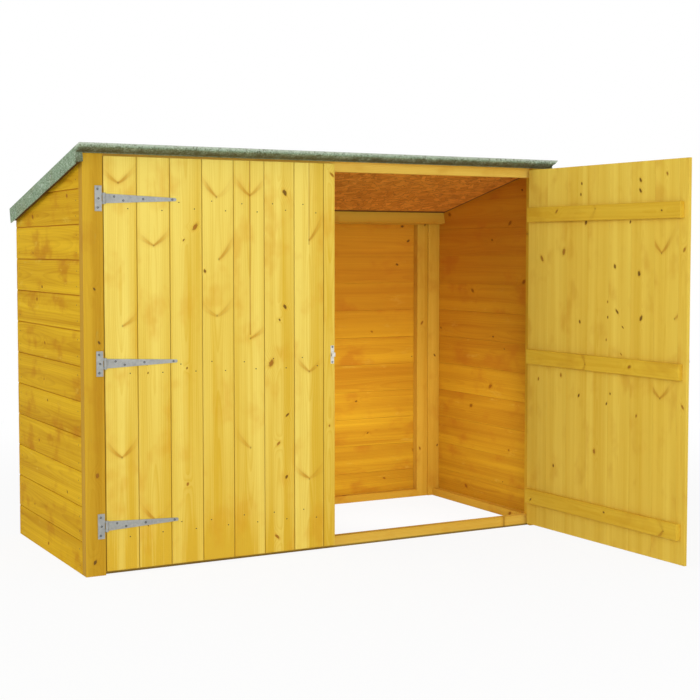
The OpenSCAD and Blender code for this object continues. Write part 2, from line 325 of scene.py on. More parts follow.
@dataclass(frozen=True)
class TimberFinish:
    """Stained softwood, dressed by the grain, whorl, branch, board and heart attributes.

    Attributes:
        pale: spring wood.
        deep: autumn wood.
        warm: where the stain has gathered.
        knot: live knots.
        dead: dead knots and dark joints.
        stain: mould and weather marks.
        blotch: strength of the gathered stain.
        grime: strength of the marks.
        ring: width of one growth ring, in metres.
        ring_depth: how dark autumn wood is beside spring wood.
        roughness: how matt the face is.
        sheen: how much it mirrors.
        band: how much wide bands of the board differ.
        within: half width and depth inside which the boards get painted shade.
        aged: colour of the painted shade inside the store, strongest near the roof.
        seam: how dark the joints are of boards whose pith is DOOR_PITH under their face,
        from stain gathered there and painted shade in the gaps.
        drain: painted shade, how much darker the wood is for each metre lower down.
        cheek: half width past which a timber's side face gets painted shade.
        foot: how high the painted shade along the ground line reaches, in metres.
    """

    name: str
    pale: Rgb
    deep: Rgb
    warm: Rgb
    knot: Rgb = (196, 134, 40)
    dead: Rgb = (84, 56, 24)
    stain: Rgb = (150, 140, 80)
    blotch: float = 0.35
    grime: float = 0.0
    ring: float = 0.0052
    ring_depth: float = 0.45
    roughness: float = 0.62
    sheen: float = 0.1
    band: float = 1.3
    within: Pair | None = None
    aged: Rgb = (212, 125, 44)
    seam: float = 0.0
    drain: float = 0.0
    cheek: float = 0.0
    foot: float = 0.0

    # How far the pith of a door board lies under its face
    DOOR_PITH: ClassVar[float] = 0.02
    # The height at which the painted low shade is neither darker nor paler
    DRAIN_LEVEL: ClassVar[float] = 0.72
    DUST: ClassVar[Rgb] = (220, 166, 96)
    CHEEK_BROWN: ClassVar[Rgb] = (156, 106, 12)

    def _autumn(self, t: TimberShader) -> Value:
        """1 in autumn wood and 0 in spring wood.

        Growth rings are shells round the pith: the distance from the pith, swelled round
        each knot, is cut into steps of one ring.
        """
        drift = t.grain_noise((4.0, 4.0, 1.4), 1.0)
        swell = (t.off / (t.size * 2.2 + 0.006)).bell() * (t.up / t.reach).bell()
        x = t.across + (drift - 0.5) * 0.012
        y = t.deep + (drift - 0.5) * 0.05 + (t.sway - 0.5) * 0.01
        radius = (x * x + y * y).root() + swell * t.knotty * t.size * 2.0
        ring = (radius / self.ring + (t.sway - 0.5) * 0.8).fraction()
        return ring.rise(0.35, 0.95) * (1.0 - ring.rise(0.95, 1.0))

    def _wood(self, t: TimberShader, autumn: Value) -> Value:
        """The clear wood: streaks along the grain, wide bands, rings, gathered stain, and painted
        shade lower down.
        """
        b = t.bench
        depth = (0.42 + t.tone * 0.3 + (t.across.above(0.0) - 0.5) * t.halves
                 + (t.streak - 0.5) * 0.75 + (t.band - 0.5) * self.band
                 + (autumn - 0.3) * self.ring_depth)
        # Painted shade and light: darker lower down, paler higher up, with dark patches just above
        # the ground
        if self.drain:
            level = t.place[2]
            depth = depth + (self.DRAIN_LEVEL - level) * self.drain
            low_shade_patches = (1.0 - level.rise(0.02, 0.2)) * (t.band + t.streak * 0.5).rise(0.55, 0.95)
            depth = depth + low_shade_patches * 0.6
        cloud = t.grain_noise((10.0, 10.0, 6.5), 3.0, 0.55)
        colour = b.blend(depth.clipped(), paint(self.pale), paint(self.deep))
        colour = b.blend(cloud.rise(0.52, 0.74) * self.blotch, colour, paint(self.warm))
        if self.grime:
            mould = t.grain_noise((30.0, 30.0, 9.0), 4.0, 0.7, lift=3.0)
            colour = b.blend(mould.rise(0.6, 0.75) * self.grime, colour, paint(self.stain))
        return colour

    def _age(self, t: TimberShader, colour: Value) -> Value:
        """Painted shade inside the store, strongest near the roof; a little paler near the ground.
        """
        b = t.bench
        x, y, z = t.place
        inside = (1.0 - abs(x).above(self.within[0])) * (1.0 - y.above(self.within[1]))
        # Painted shade, darkest near the roof
        colour = b.blend(inside * (z.rise(0.1, 1.15) * 0.4 + 0.15), colour, paint(self.aged))
        # A little paler near the ground
        return b.blend(inside * (1.0 - z.rise(0.1, 0.9)) * 0.06, colour, paint(self.DUST))

    def _heart_line(self, t: TimberShader, colour: Value) -> Value:
        """The pith where it lies bare as a dark line along the board."""
        strength, start, end = t.heart
        shown = t.along.above(start) * (1.0 - t.along.above(end))
        line = ((t.across + (t.sway - 0.5) * 0.004) / 0.002).bell() * strength * shown
        line = (line * (0.6 + t.streak * 0.5)).clipped() * 0.8
        return t.bench.blend(line, colour, paint(self.knot))

    def _spikes(self, t: TimberShader, colour: Value) -> tuple[Value, Value]:
        """Branches cut lengthwise: soft spikes that rise from the pith to the board's edges.

        A spike's middle climbs by its size for each metre out, and a little more further
        out. Chance makes one arm fainter or steeper than another.

        Returns:
            The colour, and the strength of the spikes for the gloss.
        """
        b = t.bench
        distance = abs(t.off)
        side = t.off.above(0.0)
        right = (t.arms - 1.0).bell().above(0.5).most(t.arms.above(2.5))
        shown = side * right + (1.0 - side) * t.arms.above(1.5)
        luck = b.noise(b.vector(side * 7.0 + t.phase, t.along * 3.0, 2.0), 1.0, 1.0)
        luck = luck.rise(0.34, 0.56)
        climb = t.up - distance * t.size * (distance * 7.0 + 0.55 + luck * 0.4)
        offset = abs(climb + (t.sway - 0.5) * 0.016) / (t.size * t.size + 1.0).root()
        edge = offset / (distance * 0.15 + 0.002)
        fade = (1.0 - distance.rise(0.012, 0.056) * 0.8) * (luck * 0.7 + 0.3)
        patchy = t.streak.rise(0.3, 0.6) * 0.6 + 0.4
        spike = (1.0 - edge.rise(0.4, 1.2)) * shown * fade
        rim = ((edge - 1.0) * 2.2).bell() * shown * fade * patchy
        spread = (1.0 - edge.rise(0.8, 4.5)) * shown * fade
        tip_x, tip_y = t.off / 0.0024, t.up / 0.0034
        tip = (tip_x * tip_x + tip_y * tip_y).root().bell() * t.arms.above(0.5)
        colour = b.blend(spread * 0.25, colour, paint(self.warm))
        colour = b.blend(spike * 0.6, colour, paint(self.warm))
        colour = b.blend(spike * patchy * fade * 0.3, colour, paint(self.knot))
        colour = b.blend(rim * 0.3, colour, paint(self.knot))
        return b.blend(tip * 0.5, colour, paint(self.dead)), spike

    def _ovals(self, t: TimberShader, colour: Value) -> tuple[Value, Value]:
        """Knots cut across: a rough leaning oval with rings, a halo and a dark collar.

        Returns:
            The colour, and the strength of the knots' middles for the relief.
        """
        b = t.bench
        lean = (b.noise(b.vector(t.phase, t.along * 2.0, 9.0), 1.0, 0.0) - 0.5) * 3.0
        rough = b.noise(b.vector(t.off * 180.0, t.up * 180.0, t.phase), 1.0, 2.0)
        x = (t.off + t.up * lean) / (t.size * 0.85)
        y = t.up / (t.size * 1.25)
        radius = (x * x + y * y).root() + (rough - 0.5) * 0.9
        core = (1.0 - radius.rise(0.75, 1.1)) * t.knotty
        halo = (1.0 - radius.rise(1.0, 2.4)) * t.knotty
        black = (t.oval - 1.0).clipped()
        heart = b.blend(black, paint(self.knot), paint(self.dead))
        collar = ((radius - 1.0) * 5.0).bell() * t.knotty * (0.35 + black * 0.4)
        colour = b.blend(halo * 0.45, colour, paint(self.warm))
        colour = b.blend(core * (0.7 + (radius * 5.0).fraction() * 0.3), colour, heart)
        return b.blend(collar, colour, paint(self.dead)), core

    def _dirt(self, t: TimberShader, colour: Value) -> Value:
        """Joints with stain and painted shade, and painted shade on a side face and along the
        ground.
        """
        b = t.bench
        # Dark joints: stain gathered in them, and painted shade in the gaps
        if self.seam:
            sunk = t.deep + self.DOOR_PITH
            joint = sunk.rise(0.0008, 0.0018) * (1.0 - sunk.above(0.0095))
            colour = b.blend(joint * self.seam, colour, paint(self.dead))
        # Painted shade on a post's outer side face, which the lamps light brighter than its front
        if self.cheek:
            side = abs(t.place[0]).above(self.cheek)
            colour = b.blend(side * 0.4, colour, paint(self.CHEEK_BROWN))
        # Painted shade along the ground line, darkest at the foot of the timber
        if self.foot:
            level = t.place[2] / self.foot + (t.streak - 0.5) * 0.6
            damp = 1.0 - level.rise(0.5, 1.2)
            colour = b.blend(damp * 0.75, colour, paint(self.dead))
        return colour

    def material(self) -> Material:
        """The finish as a material: wood, painted inner shade, heart, knots, then dirt and painted
        shade.

        Returns:
            The new material.
        """
        t = TimberShader(self.name)
        autumn = self._autumn(t)
        colour = self._wood(t, autumn)
        if self.within:
            colour = self._age(t, colour)
        colour = self._heart_line(t, colour)
        colour, spike = self._spikes(t, colour)
        colour, core = self._ovals(t, colour)
        return t.bench.finish(
            Base_Color=self._dirt(t, colour),
            Roughness=self.roughness + (t.streak - 0.5) * 0.12 - spike * 0.1,
            Specular_IOR_Level=self.sheen,
            Normal=t.bench.bump(autumn * 0.5 + t.streak + core * 0.6, 0.0004, 0.6),
        )


@dataclass(frozen=True)
class StrandFinish:
    """Board of pressed strands: layers of long cells, each layer at its own angle.

    Attributes:
        pale: the palest strands.
        deep: the darkest strands.
        crack: the joints between strands.
        corner: dirt and shade in the corners under the board.
        strand: width and length of a strand, in metres.
        angles: the layers' angles, in degrees.
    """

    name: str
    pale: Rgb
    deep: Rgb
    crack: Rgb
    corner: Rgb = (52, 34, 16)
    strand: Pair = (0.018, 0.055)
    angles: tuple[float, ...] = (8.0, 67.0, 128.0, 160.0)

    def _layer(self, b: Bench, place: Sequence[Value], layer: int) -> tuple[Value, Value, Value]:
        """One layer: the point is turned, and shrunk along and across its strands.

        Args:
            b: the material's bench.
            place: the point on the board.
            layer: the layer's number.

        Returns:
            The chance height and tone of the strand there, and how far its edge is.
        """
        x, y, _ = place
        width, length = self.strand
        turn = math.radians(self.angles[layer])
        run = (x * math.cos(turn) + y * math.sin(turn)) / length
        cross = (y * math.cos(turn) - x * math.sin(turn)) / width
        cell = {"Vector": b.vector(run, cross, 3.7 * layer), "Scale": 1.0}
        height, tone, _ = b.node("TexVoronoi", {}, cell, "Color").parts()
        edge = b.node("TexVoronoi", {"feature": "DISTANCE_TO_EDGE"}, cell, "Distance")
        return height, tone, edge

    def material(self, shaded: Pair) -> Material:
        """The finish as a material, where the highest layer's strand shows at each point.

        Args:
            shaded: half width, and depth from the front, where the dark corners start.

        Returns:
            The new material.
        """
        b = Bench.named(self.name)
        place = b.place().parts()
        x, y, _ = place
        height, tone, gap = self._layer(b, place, 0)
        for layer in range(1, len(self.angles)):
            chance, shade, edge = self._layer(b, place, layer)
            top = chance.above(height)
            tone = tone + (shade - tone) * top
            gap = gap + (edge - gap) * top
            height = height.most(chance)
        fibre = b.noise(b.vector(x * 60.0, y * 200.0, 0.0), 1.0, 3.0)
        depth = tone * 0.8 + fibre * 0.4 - 0.1
        colour = b.blend(depth.clipped(), paint(self.pale), paint(self.deep))
        colour = b.blend((1.0 - gap.rise(0.0, 0.09)) * 0.6, colour, paint(self.crack))
        half, back = shaded
        corner = y.rise(back, back + 0.012)
        corner = corner.most((x * x).rise(half ** 2, (half + 0.006) ** 2))
        colour = b.blend(corner * 0.8, colour, paint(self.corner))
        return b.finish(
            Base_Color=colour,
            Roughness=0.7 + (tone - 0.5) * 0.1,
            Specular_IOR_Level=0.3,
            Normal=b.bump(height + gap.rise(0.0, 0.1) * 0.4, 0.0006, 0.8),
        )


@dataclass(frozen=True)
class FeltFinish:
    """Roofing felt with mineral chips pressed into its face.

    Attributes:
        chip: the chips.
        gap: the felt between the chips.
        scuff: pale scuffs and dust, and the painted highlight on the nose's rolled top.
        damp: damp patches.
        shade: the fold's own shade, and dark grit.
    """

    name: str
    chip: Rgb
    gap: Rgb
    scuff: Rgb
    damp: Rgb
    shade: Rgb

    def material(self, corner: Pair) -> Material:
        """The finish as a material: chips, soft mottling, scuffs, damp patches and grit.

        Ahead of the posts a highlight is painted on its rolled top, and shade at its fold.

        Args:
            corner: Y and Z where the roof board's underside passes over the posts' front.

        Returns:
            The new material.
        """
        b = Bench.named(self.name)
        at = b.place()
        _, y, z = at.parts()
        back, up = y - corner[0], z - corner[1]
        height = up * math.cos(ROOF_PITCH) + back * math.sin(ROOF_PITCH)
        ahead = 1.0 - back.rise(-0.02, 0.0)
        chips = b.node("TexVoronoi", {}, {"Vector": at, "Scale": 520.0}, "Distance")
        speck = b.noise(at, 260.0, 3.0, 0.7)
        mottle = b.noise(at, 34.0, 4.0, 0.65)
        patch = b.noise(at, 7.0, 2.0)
        grey = 0.5 + (speck - 0.5) * 1.3 + (mottle - 0.5) * 1.2
        colour = b.blend(grey.clipped(), paint(self.gap), paint(self.chip))
        colour = b.blend(mottle.rise(0.6, 0.74) * 0.55, colour, paint(self.scuff))
        colour = b.blend(patch.rise(0.5, 0.7) * 0.3, colour, paint(self.damp))
        # Painted highlight on the nose's rolled top
        colour = b.blend(height.rise(0.0, 0.011) * ahead * 0.8, colour, paint(self.scuff))
        grit = b.noise(at, 165.0, 1.0, 0.7)
        colour = b.blend(grit.rise(0.54, 0.68) * 0.62, colour, paint(self.shade))
        colour = b.blend((1.0 - grit.rise(0.3, 0.44)) * 0.62, colour, paint(self.scuff))
        low = (1.0 - (height + (mottle - 0.5) * 0.012).rise(-0.009, 0.004)) * ahead
        colour = b.blend(low * 0.85, colour, paint(self.shade))
        return b.finish(
            Base_Color=colour,
            Roughness=0.9,
            Specular_IOR_Level=0.25,
            Normal=b.bump(speck * 0.6 + (1.0 - chips) * 0.4, 0.0008, 0.9),
        )


@dataclass(frozen=True)
class ZincFinish:
    """Galvanised or bright plated sheet steel.

    Attributes:
        light: the palest crystals.
        shade: the darkest crystals.
        metal: how metallic it is.
        roughness: how matt it is.
    """

    name: str
    light: Rgb
    shade: Rgb
    metal: float
    roughness: float

    def material(self) -> Material:
        """The finish as a material: cells of zinc crystals under a faint cloud of handling.

        Returns:
            The new material.
        """
        b = Bench.named(self.name)
        at = b.place()
        cell = {"Vector": at, "Scale": 170.0}
        flake, _, _ = b.node("TexVoronoi", {}, cell, "Color").parts()
        cloud = b.noise(at, 45.0, 3.0)
        grain = b.noise(at, 900.0, 1.0)
        tone = (flake * 0.45 + (cloud - 0.5) * 1.2 + 0.25).clipped()
        return b.finish(
            Base_Color=b.blend(tone, paint(self.light), paint(self.shade)),
            Metallic=self.metal,
            Roughness=self.roughness + (flake - 0.5) * 0.16,
            Normal=b.bump(grain * 0.5 + flake * 0.2, 0.0001, 0.5),
        )


DOOR_STAIN = TimberFinish(
    "door_stain", pale=(244, 219, 106), deep=(222, 182, 54), warm=(218, 158, 36),
    knot=(160, 96, 26), dead=(96, 62, 24), blotch=0.42, ring_depth=0.25, band=1.6, seam=0.3,
    drain=0.3)
POST_STAIN = TimberFinish(
    "post_stain", pale=(220, 178, 50), deep=(190, 142, 26), warm=(186, 130, 26), cheek=0.8926,
    knot=(150, 92, 28), dead=(92, 64, 30), stain=(170, 156, 76), blotch=0.5, grime=0.35,
    ring_depth=0.12)
WALL_STAIN = TimberFinish(
    "wall_stain", sheen=0.03, within=(0.887, 0.738),
    pale=(227, 184, 34), deep=(178, 122, 6), warm=(180, 108, 12),
    knot=(152, 90, 22), dead=(96, 62, 22), stain=(226, 192, 72), blotch=0.6, grime=0.5,
    ring_depth=0.16)
INNER_STAIN = TimberFinish(
    "inner_stain", sheen=0.03, pale=(222, 180, 66), deep=(198, 146, 38), warm=(184, 116, 26),
    knot=(146, 82, 20), dead=(92, 56, 20), stain=(214, 168, 70), blotch=0.45, grime=0.2,
    ring_depth=0.12)
SHADED_TIMBER = TimberFinish(
    "shaded_timber", pale=(108, 76, 26), deep=(78, 52, 16), warm=(70, 42, 12), blotch=0.4,
    ring_depth=0.1)
FRAME_STAIN = TimberFinish(
    "frame_stain", pale=(242, 208, 98), deep=(222, 174, 58), warm=(206, 144, 38),
    knot=(168, 108, 34), dead=(78, 62, 24), blotch=0.35, ring_depth=0.25, foot=0.008)
INNER_DOOR_STAIN = TimberFinish(
    "inner_door_stain", pale=(234, 206, 88), deep=(214, 174, 54), warm=(196, 138, 34),
    knot=(160, 104, 34), dead=(84, 54, 22), blotch=0.4, ring_depth=0.2)
LEDGE_STAIN = TimberFinish(
    "ledge_stain", pale=(224, 190, 62), deep=(206, 162, 38), warm=(188, 132, 28),
    knot=(150, 98, 30), dead=(88, 58, 24), blotch=0.4, ring_depth=0.2)
ROOF_STRANDS = StrandFinish(
    "roof_strands", pale=(246, 172, 62), deep=(198, 126, 36), crack=(140, 82, 24))
ROOF_FELT = FeltFinish(
    "roof_felt_green", chip=(164, 188, 158), gap=(92, 112, 84), scuff=(206, 216, 198),
    damp=(124, 124, 80), shade=(70, 58, 16))
GALVANISED = ZincFinish("galvanised", (170, 172, 168), (146, 149, 148), 0.2, 0.55)
BRIGHT_ZINC = ZincFinish("bright_zinc", (232, 232, 226), (206, 206, 200), 0.3, 0.35)
NAIL_IRON = ZincFinish("nail_iron", (86, 66, 34), (58, 42, 20), 0.2, 0.7)
SCREW_STEEL = ZincFinish("screw_steel", (92, 94, 96), (56, 58, 62), 0.3, 0.5)


# ---------------------------------------------------------------- meshes


@dataclass
class Skin:
    """Faces in the making: points, the points round each face, and values on both."""

    points: np.ndarray
    corners: np.ndarray
    sides: np.ndarray
    point_values: dict[str, np.ndarray] = field(default_factory=dict)
    corner_values: dict[str, np.ndarray] = field(default_factory=dict)

    @staticmethod
    def joined(skins: Sequence["Skin"]) -> "Skin":
        """All of the skins as one.

        Args:
            skins: skins that carry the same values.

        Returns:
            One skin, with the point numbers of each shifted past those before it.
        """
        starts = np.cumsum([0] + [len(s.points) for s in skins[:-1]])
        return Skin(
            np.concatenate([s.points for s in skins]),
            np.concatenate([s.corners + n for s, n in zip(skins, starts)]),
            np.concatenate([s.sides for s in skins]),
            {k: np.concatenate([s.point_values[k] for s in skins]) for k in skins[0].point_values},
            {k: np.concatenate([s.corner_values[k] for s in skins])
             for k in skins[0].corner_values},
        )

    def turned(self, turn: "Turn | None") -> "Skin":
        """The skin after a turn, with its values kept."""
        if turn is None:
            return self
        return Skin(turn.of(self.points), self.corners, self.sides, self.point_values,
                    self.corner_values)

    def to_piece(self, name: str, smooth: bool = False) -> bpy.types.Object:
        """A new object at the origin with this mesh.

        Args:
            name: the piece's name.
            smooth: whether faces are shaded smooth, apart from edges over 40 degrees.

        Returns:
            The new object.
        """
        mesh = bpy.data.meshes.new(name)
        mesh.vertices.add(len(self.points))
        mesh.vertices.foreach_set("co", self.points.astype(np.float32).ravel())
        mesh.loops.add(len(self.corners))
        mesh.loops.foreach_set("vertex_index", self.corners.astype(np.int32))
        mesh.polygons.add(len(self.sides))
        starts = np.concatenate([[0], np.cumsum(self.sides)[:-1]])
        mesh.polygons.foreach_set("loop_start", starts.astype(np.int32))
        mesh.update(calc_edges=True)
        for domain, values in (("POINT", self.point_values), ("CORNER", self.corner_values)):
            for key, value in values.items():
                made = mesh.attributes.new(key, "FLOAT_VECTOR", domain)
                made.data.foreach_set("vector", value.astype(np.float32).ravel())
        mesh.polygons.foreach_set("use_smooth", np.full(len(self.sides), smooth))
        if smooth:
            mesh.set_sharp_from_angle(angle=math.radians(40.0))
        piece = bpy.data.objects.new(name, mesh)
        bpy.context.scene.collection.objects.link(piece)
        return piece


@dataclass(frozen=True)
class Turn:
    """A turn about an upright line: the pin at (x, y), through an angle in radians."""

    x: float
    y: float
    angle: float

    def of(self, points: np.ndarray) -> np.ndarray:
        """The points after the turn."""
        c, s = math.cos(self.angle), math.sin(self.angle)
        pin = np.array([self.x, self.y, 0.0])
        return (points - pin) @ np.array([[c, s, 0.0], [-s, c, 0.0], [0.0, 0.0, 1.0]]) + pin


@dataclass(frozen=True)
class Lie:
    """How a piece lies: its corner, and its directions across, deep and along the grain."""

    corner: np.ndarray
    across: np.ndarray
    deep: np.ndarray
    along: np.ndarray

    def place(self, local: np.ndarray) -> np.ndarray:
        """Points given as across, deep and along, put in the frame."""
        return self.corner + local @ np.stack([self.across, self.deep, self.along])

    @property
    def mirrored(self) -> bool:
        """Whether the three directions are left-handed."""
        return float(np.dot(np.cross(self.across, self.deep), self.along)) < 0.0


def loft(rings: np.ndarray, mirrored: bool = False) -> Skin:
    """A closed skin over a row of rings.

    Face (k, i) joins points i and i + 1 of ring k to those of ring k + 1, and the first
    and last rings are closed by one face each.

    Args:
        rings: array of rings by points by 3, each ring anticlockwise seen from the last.
        mirrored: whether faces are turned over, for a left-handed set of directions.

    Returns:
        The skin.
    """
    count, size, _ = rings.shape
    ring, point = np.meshgrid(np.arange(count - 1), np.arange(size), indexing="ij")
    here = ring * size + point
    beside = ring * size + (point + 1) % size
    quads = np.stack([here, beside, beside + size, here + size], axis=-1).reshape(-1, 4)
    start = np.arange(size)[::-1]
    end = np.arange(size) + (count - 1) * size
    if mirrored:
        quads, start, end = quads[:, ::-1], start[::-1], end[::-1]
    return Skin(
        rings.reshape(-1, 3),
        np.concatenate([quads.ravel(), start, end]),
        np.concatenate([np.full(len(quads), 4), [size, size]]),
    )


def eased(outline: np.ndarray, ease: float) -> np.ndarray:
    """An outline with each corner cut off by ease along both of its edges.

    Args:
        outline: corners by 2.
        ease: length taken off each edge at each corner.

    Returns:
        The new outline, with two points for each corner.
    """
    before = np.roll(outline, 1, axis=0) - outline
    after = np.roll(outline, -1, axis=0) - outline
    before *= ease / np.linalg.norm(before, axis=1, keepdims=True)
    after *= ease / np.linalg.norm(after, axis=1, keepdims=True)
    return np.stack([outline + before, outline + after], axis=1).reshape(-1, 2)


def rectangle(width: float, thickness: float, ease: float = ARRIS) -> np.ndarray:
    """The section of planed timber with eased edges."""
    return eased(np.array([[0.0, 0.0], [width, 0.0], [width, thickness], [0.0, thickness]]), ease)


def split_across(outline: np.ndarray, at: float) -> np.ndarray:
    """The outline with a point added wherever it crosses a line at that distance across."""
    after = np.roll(outline, -1, axis=0)
    low, high = outline[:, 0], after[:, 0]
    crosses = np.flatnonzero((low - at) * (high - at) < -1e-12)
    share = (at - low[crosses]) / (high[crosses] - low[crosses])
    made = outline[crosses] + share[:, None] * (after[crosses] - outline[crosses])
    return np.insert(outline, crosses + 1, made, axis=0)


class Knot(Enum):
    """What a whorl shows on a board's face: its oval strength and which arms it has."""

    OVAL = (1.0, 0.0)
    DEAD = (2.0, 0.0)
    SPIKES = (0.0, 3.0)
    LEFT_SPIKE = (0.0, 2.0)
    RIGHT_SPIKE = (0.0, 1.0)


@dataclass(frozen=True)
class Whorl:
    """A knot in one piece of timber.

    along and across are its place on the piece, in metres. size is an oval knot's radius
    in metres, or how far a spike rises for each metre that it runs out.
    """

    along: float
    across: float
    kind: Knot
    size: float


@dataclass(frozen=True)
class Cut:
    """A flat end cut: along = at + per_across * across + per_deep * deep."""

    at: float
    per_across: float = 0.0
    per_deep: float = 0.0

    def reach(self, outline: np.ndarray) -> np.ndarray:
        """How far along the grain each point of the outline meets the cut."""
        return self.at + self.per_across * outline[:, 0] + self.per_deep * outline[:, 1]


@dataclass
class Timber:
    """One length of timber: a section carried along its grain between two end cuts.

    Attributes:
        lie: how it lies in the frame.
        outline: its section, anticlockwise in across and deep.
        cuts: the far end cuts, of which the nearest one holds at each point.
        whorls: its knots.
        tone: how dark this piece is beside its neighbours, from -1 to 1.
        pith: where the middle of the tree lay, across and deep.
        heart: the pith as a line on the face: strength, start and end along the grain.
        halves: how much darker the wood is on the far side of the pith.
        shift: where along the pattern this piece starts, in metres.
    """

    lie: Lie
    outline: np.ndarray
    cuts: tuple[Cut, ...]
    whorls: tuple[Whorl, ...] = ()
    tone: float = 0.0
    pith: Pair = (0.03, 0.05)
    heart: Triple = (0.0, 0.0, 0.0)
    shift: float = 0.0
    halves: float = 0.0

    END_EASE: ClassVar[float] = 0.0008
    # The reach where there is no knot
    QUIET_REACH: ClassVar[float] = 1.0
    # Places past the two ends of any timber
    BELOW: ClassVar[float] = -1.0
    ABOVE: ClassVar[float] = 99.0

    def skin(self) -> Skin:
        """The timber's skin with its grain, board, whorl and branch values.

        Rings of the outline stand at both ends, a little smaller for the eased arris, and
        midway between knots, so that each stretch of faces holds the place of one knot.

        Returns:
            The skin.
        """
        ease = self.END_EASE
        top = np.min([cut.reach(self.outline) for cut in self.cuts], axis=0)
        top = np.maximum(top, 3.0 * ease)
        knots = sorted(self.whorls, key=lambda w: w.along)
        places = np.array([w.along for w in knots])
        bounds = (places[1:] + places[:-1]) / 2.0
        bounds = bounds[(bounds > 2.0 * ease) & (bounds < top.min() - 2.0 * ease)]

        middle = (self.outline.min(axis=0) + self.outline.max(axis=0)) / 2.0
        half = (self.outline.max(axis=0) - self.outline.min(axis=0)) / 2.0
        small = middle + (self.outline - middle) * (1.0 - ease / half)
        heights = [np.full(len(top), x) for x in (0.0, ease, *bounds)] + [top - ease, top]
        faces = [small, *[self.outline] * (len(bounds) + 2), small]
        local = np.concatenate([np.stack(faces), np.stack(heights)[:, :, None]], axis=-1)

        made = loft(self.lie.place(local), self.lie.mirrored)
        flat = local.reshape(-1, 3)
        size = len(self.outline)
        last = len(bounds)
        rows = [0, *range(last + 1), last]
        stretch = np.concatenate([np.repeat(rows, size * 4), np.repeat([0, last], size)])
        made.point_values["grain"] = flat - [*self.pith, -self.shift]
        made.point_values["board"] = np.tile(
            [self.tone, self.halves, self.shift * 3.0], (len(flat), 1))
        strength, start, end = self.heart
        made.point_values["heart"] = np.tile(
            [strength, start + self.shift, end + self.shift], (len(flat), 1))
        made.corner_values.update(self._knot_values(flat[made.corners], stretch, knots, bounds))
        return made

    def _knot_values(self, at: np.ndarray, stretch: np.ndarray, knots: list[Whorl],
                     bounds: np.ndarray) -> dict[str, np.ndarray]:
        """The whorl and branch values at each corner.

        A stretch takes the knot that lies in it, or the one nearest to its middle. A
        knot's reach stays within its own stretch.

        Args:
            at: each corner as across, deep and along.
            stretch: the stretch that each corner's face is in.
            knots: the knots in order along the grain.
            bounds: where one stretch ends and the next starts.

        Returns:
            whorl as off, up and size, and branch as oval, arms and reach.
        """
        if not knots:
            whorl = np.tile([0.0, 0.0, 0.01], (len(at), 1))
            branch = np.tile([0.0, 0.0, self.QUIET_REACH], (len(at), 1))
            return {"whorl": whorl, "branch": branch}
        ends = np.concatenate([[self.BELOW], bounds, [self.ABOVE]])
        middles = (np.maximum(ends[:-1], -0.2) + np.minimum(ends[1:], ends[:-1] + 3.0)) / 2.0
        nearest = np.array([int(np.argmin([
            0.0 if lo <= k.along <= hi else 1.0 + abs(k.along - mid) for k in knots]))
            for lo, hi, mid in zip(ends[:-1], ends[1:], middles)])
        table = np.array([[k.across, k.along, k.size, *k.kind.value] for k in knots])[nearest]
        room = np.minimum(table[:, 1] - ends[:-1], ends[1:] - table[:, 1])
        reach = np.clip(room / 2.0, 0.004, table[:, 2] * 3.0 + 0.01)
        mine = table[stretch]
        whorl = np.stack([at[:, 0] - mine[:, 0], at[:, 2] - mine[:, 1], mine[:, 2]], axis=-1)
        branch = np.stack([mine[:, 3], mine[:, 4], reach[stretch]], axis=-1)
        return {"whorl": whorl, "branch": branch}


@dataclass
class TimberYard:
    """Chance for the pieces whose knots aren't chosen by hand."""

    rng: np.random.Generator

    def round_knots(self, length: float, width: float, spacing: float) -> tuple[Whorl, ...]:
        """Live and dead oval knots along one piece."""
        return self.knots(length, width, spacing, (Knot.OVAL, Knot.DEAD))

    def knots(self, length: float, width: float, spacing: float,
              kinds: Sequence[Knot] = (Knot.OVAL, Knot.DEAD, Knot.SPIKES)) -> tuple[Whorl, ...]:
        """Knots scattered along one piece.

        Args:
            length: the piece's length.
            width: the piece's width.
            spacing: the usual distance from one knot to the next.
            kinds: the kinds to draw from, the first ones most often.

        Returns:
            The knots, in order along the grain.
        """
        found = []
        along = spacing * float(self.rng.uniform(0.1, 0.9))
        while along < length:
            kind = kinds[int(len(kinds) * float(self.rng.uniform()) ** 1.5)]
            across = width * float(self.rng.uniform(0.12, 0.88))
            oval = kind in (Knot.OVAL, Knot.DEAD)
            size = float(self.rng.uniform(0.0028, 0.0075) if oval else self.rng.uniform(0.4, 0.9))
            if kind is Knot.DEAD:
                size *= 0.6
            found.append(Whorl(along, across, kind, size))
            along += spacing * float(self.rng.uniform(0.45, 1.6))
        return tuple(found)

    def jitter(self, reach: float, shape: int | tuple[int, ...]) -> np.ndarray:
        """Small shifts, up to that reach either way."""
        return self.rng.uniform(-reach, reach, shape)

    def tone(self) -> float:
        """A board's own tone."""
        return float(self.rng.uniform(-1.0, 1.0))

    def shift(self) -> float:
        """Where along the pattern a piece starts."""
        return float(self.rng.uniform(0.0, 50.0))

    def pith(self, width: float) -> Pair:
        """Where the middle of the tree lay, for a flat-sawn piece."""
        return (width * float(self.rng.uniform(0.2, 0.8)), float(self.rng.uniform(0.015, 0.07)))


def dress(piece: bpy.types.Object, material: Material, body: str,
          stands_for: Iterable[str] = ()) -> bpy.types.Object:
    """Gives a new piece its finish, body and the CAD nodes that it stands for.

    Args:
        piece: the new object.
        material: its finish.
        body: the body that it rides on.
        stands_for: the nodes that it replaces.

    Returns:
        The piece.
    """
    piece.data.materials.append(material)
    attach(piece, body)
    nodes = list(stands_for)
    if nodes:
        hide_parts(*nodes)
    LOG.info("%s: %d faces on %s", piece.name, len(piece.data.polygons), body)
    return piece


def corners_of(node: str) -> tuple[np.ndarray, np.ndarray]:
    """A CAD node's lowest and highest corners at rest."""
    low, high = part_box(node)
    return np.array(low, float), np.array(high, float)


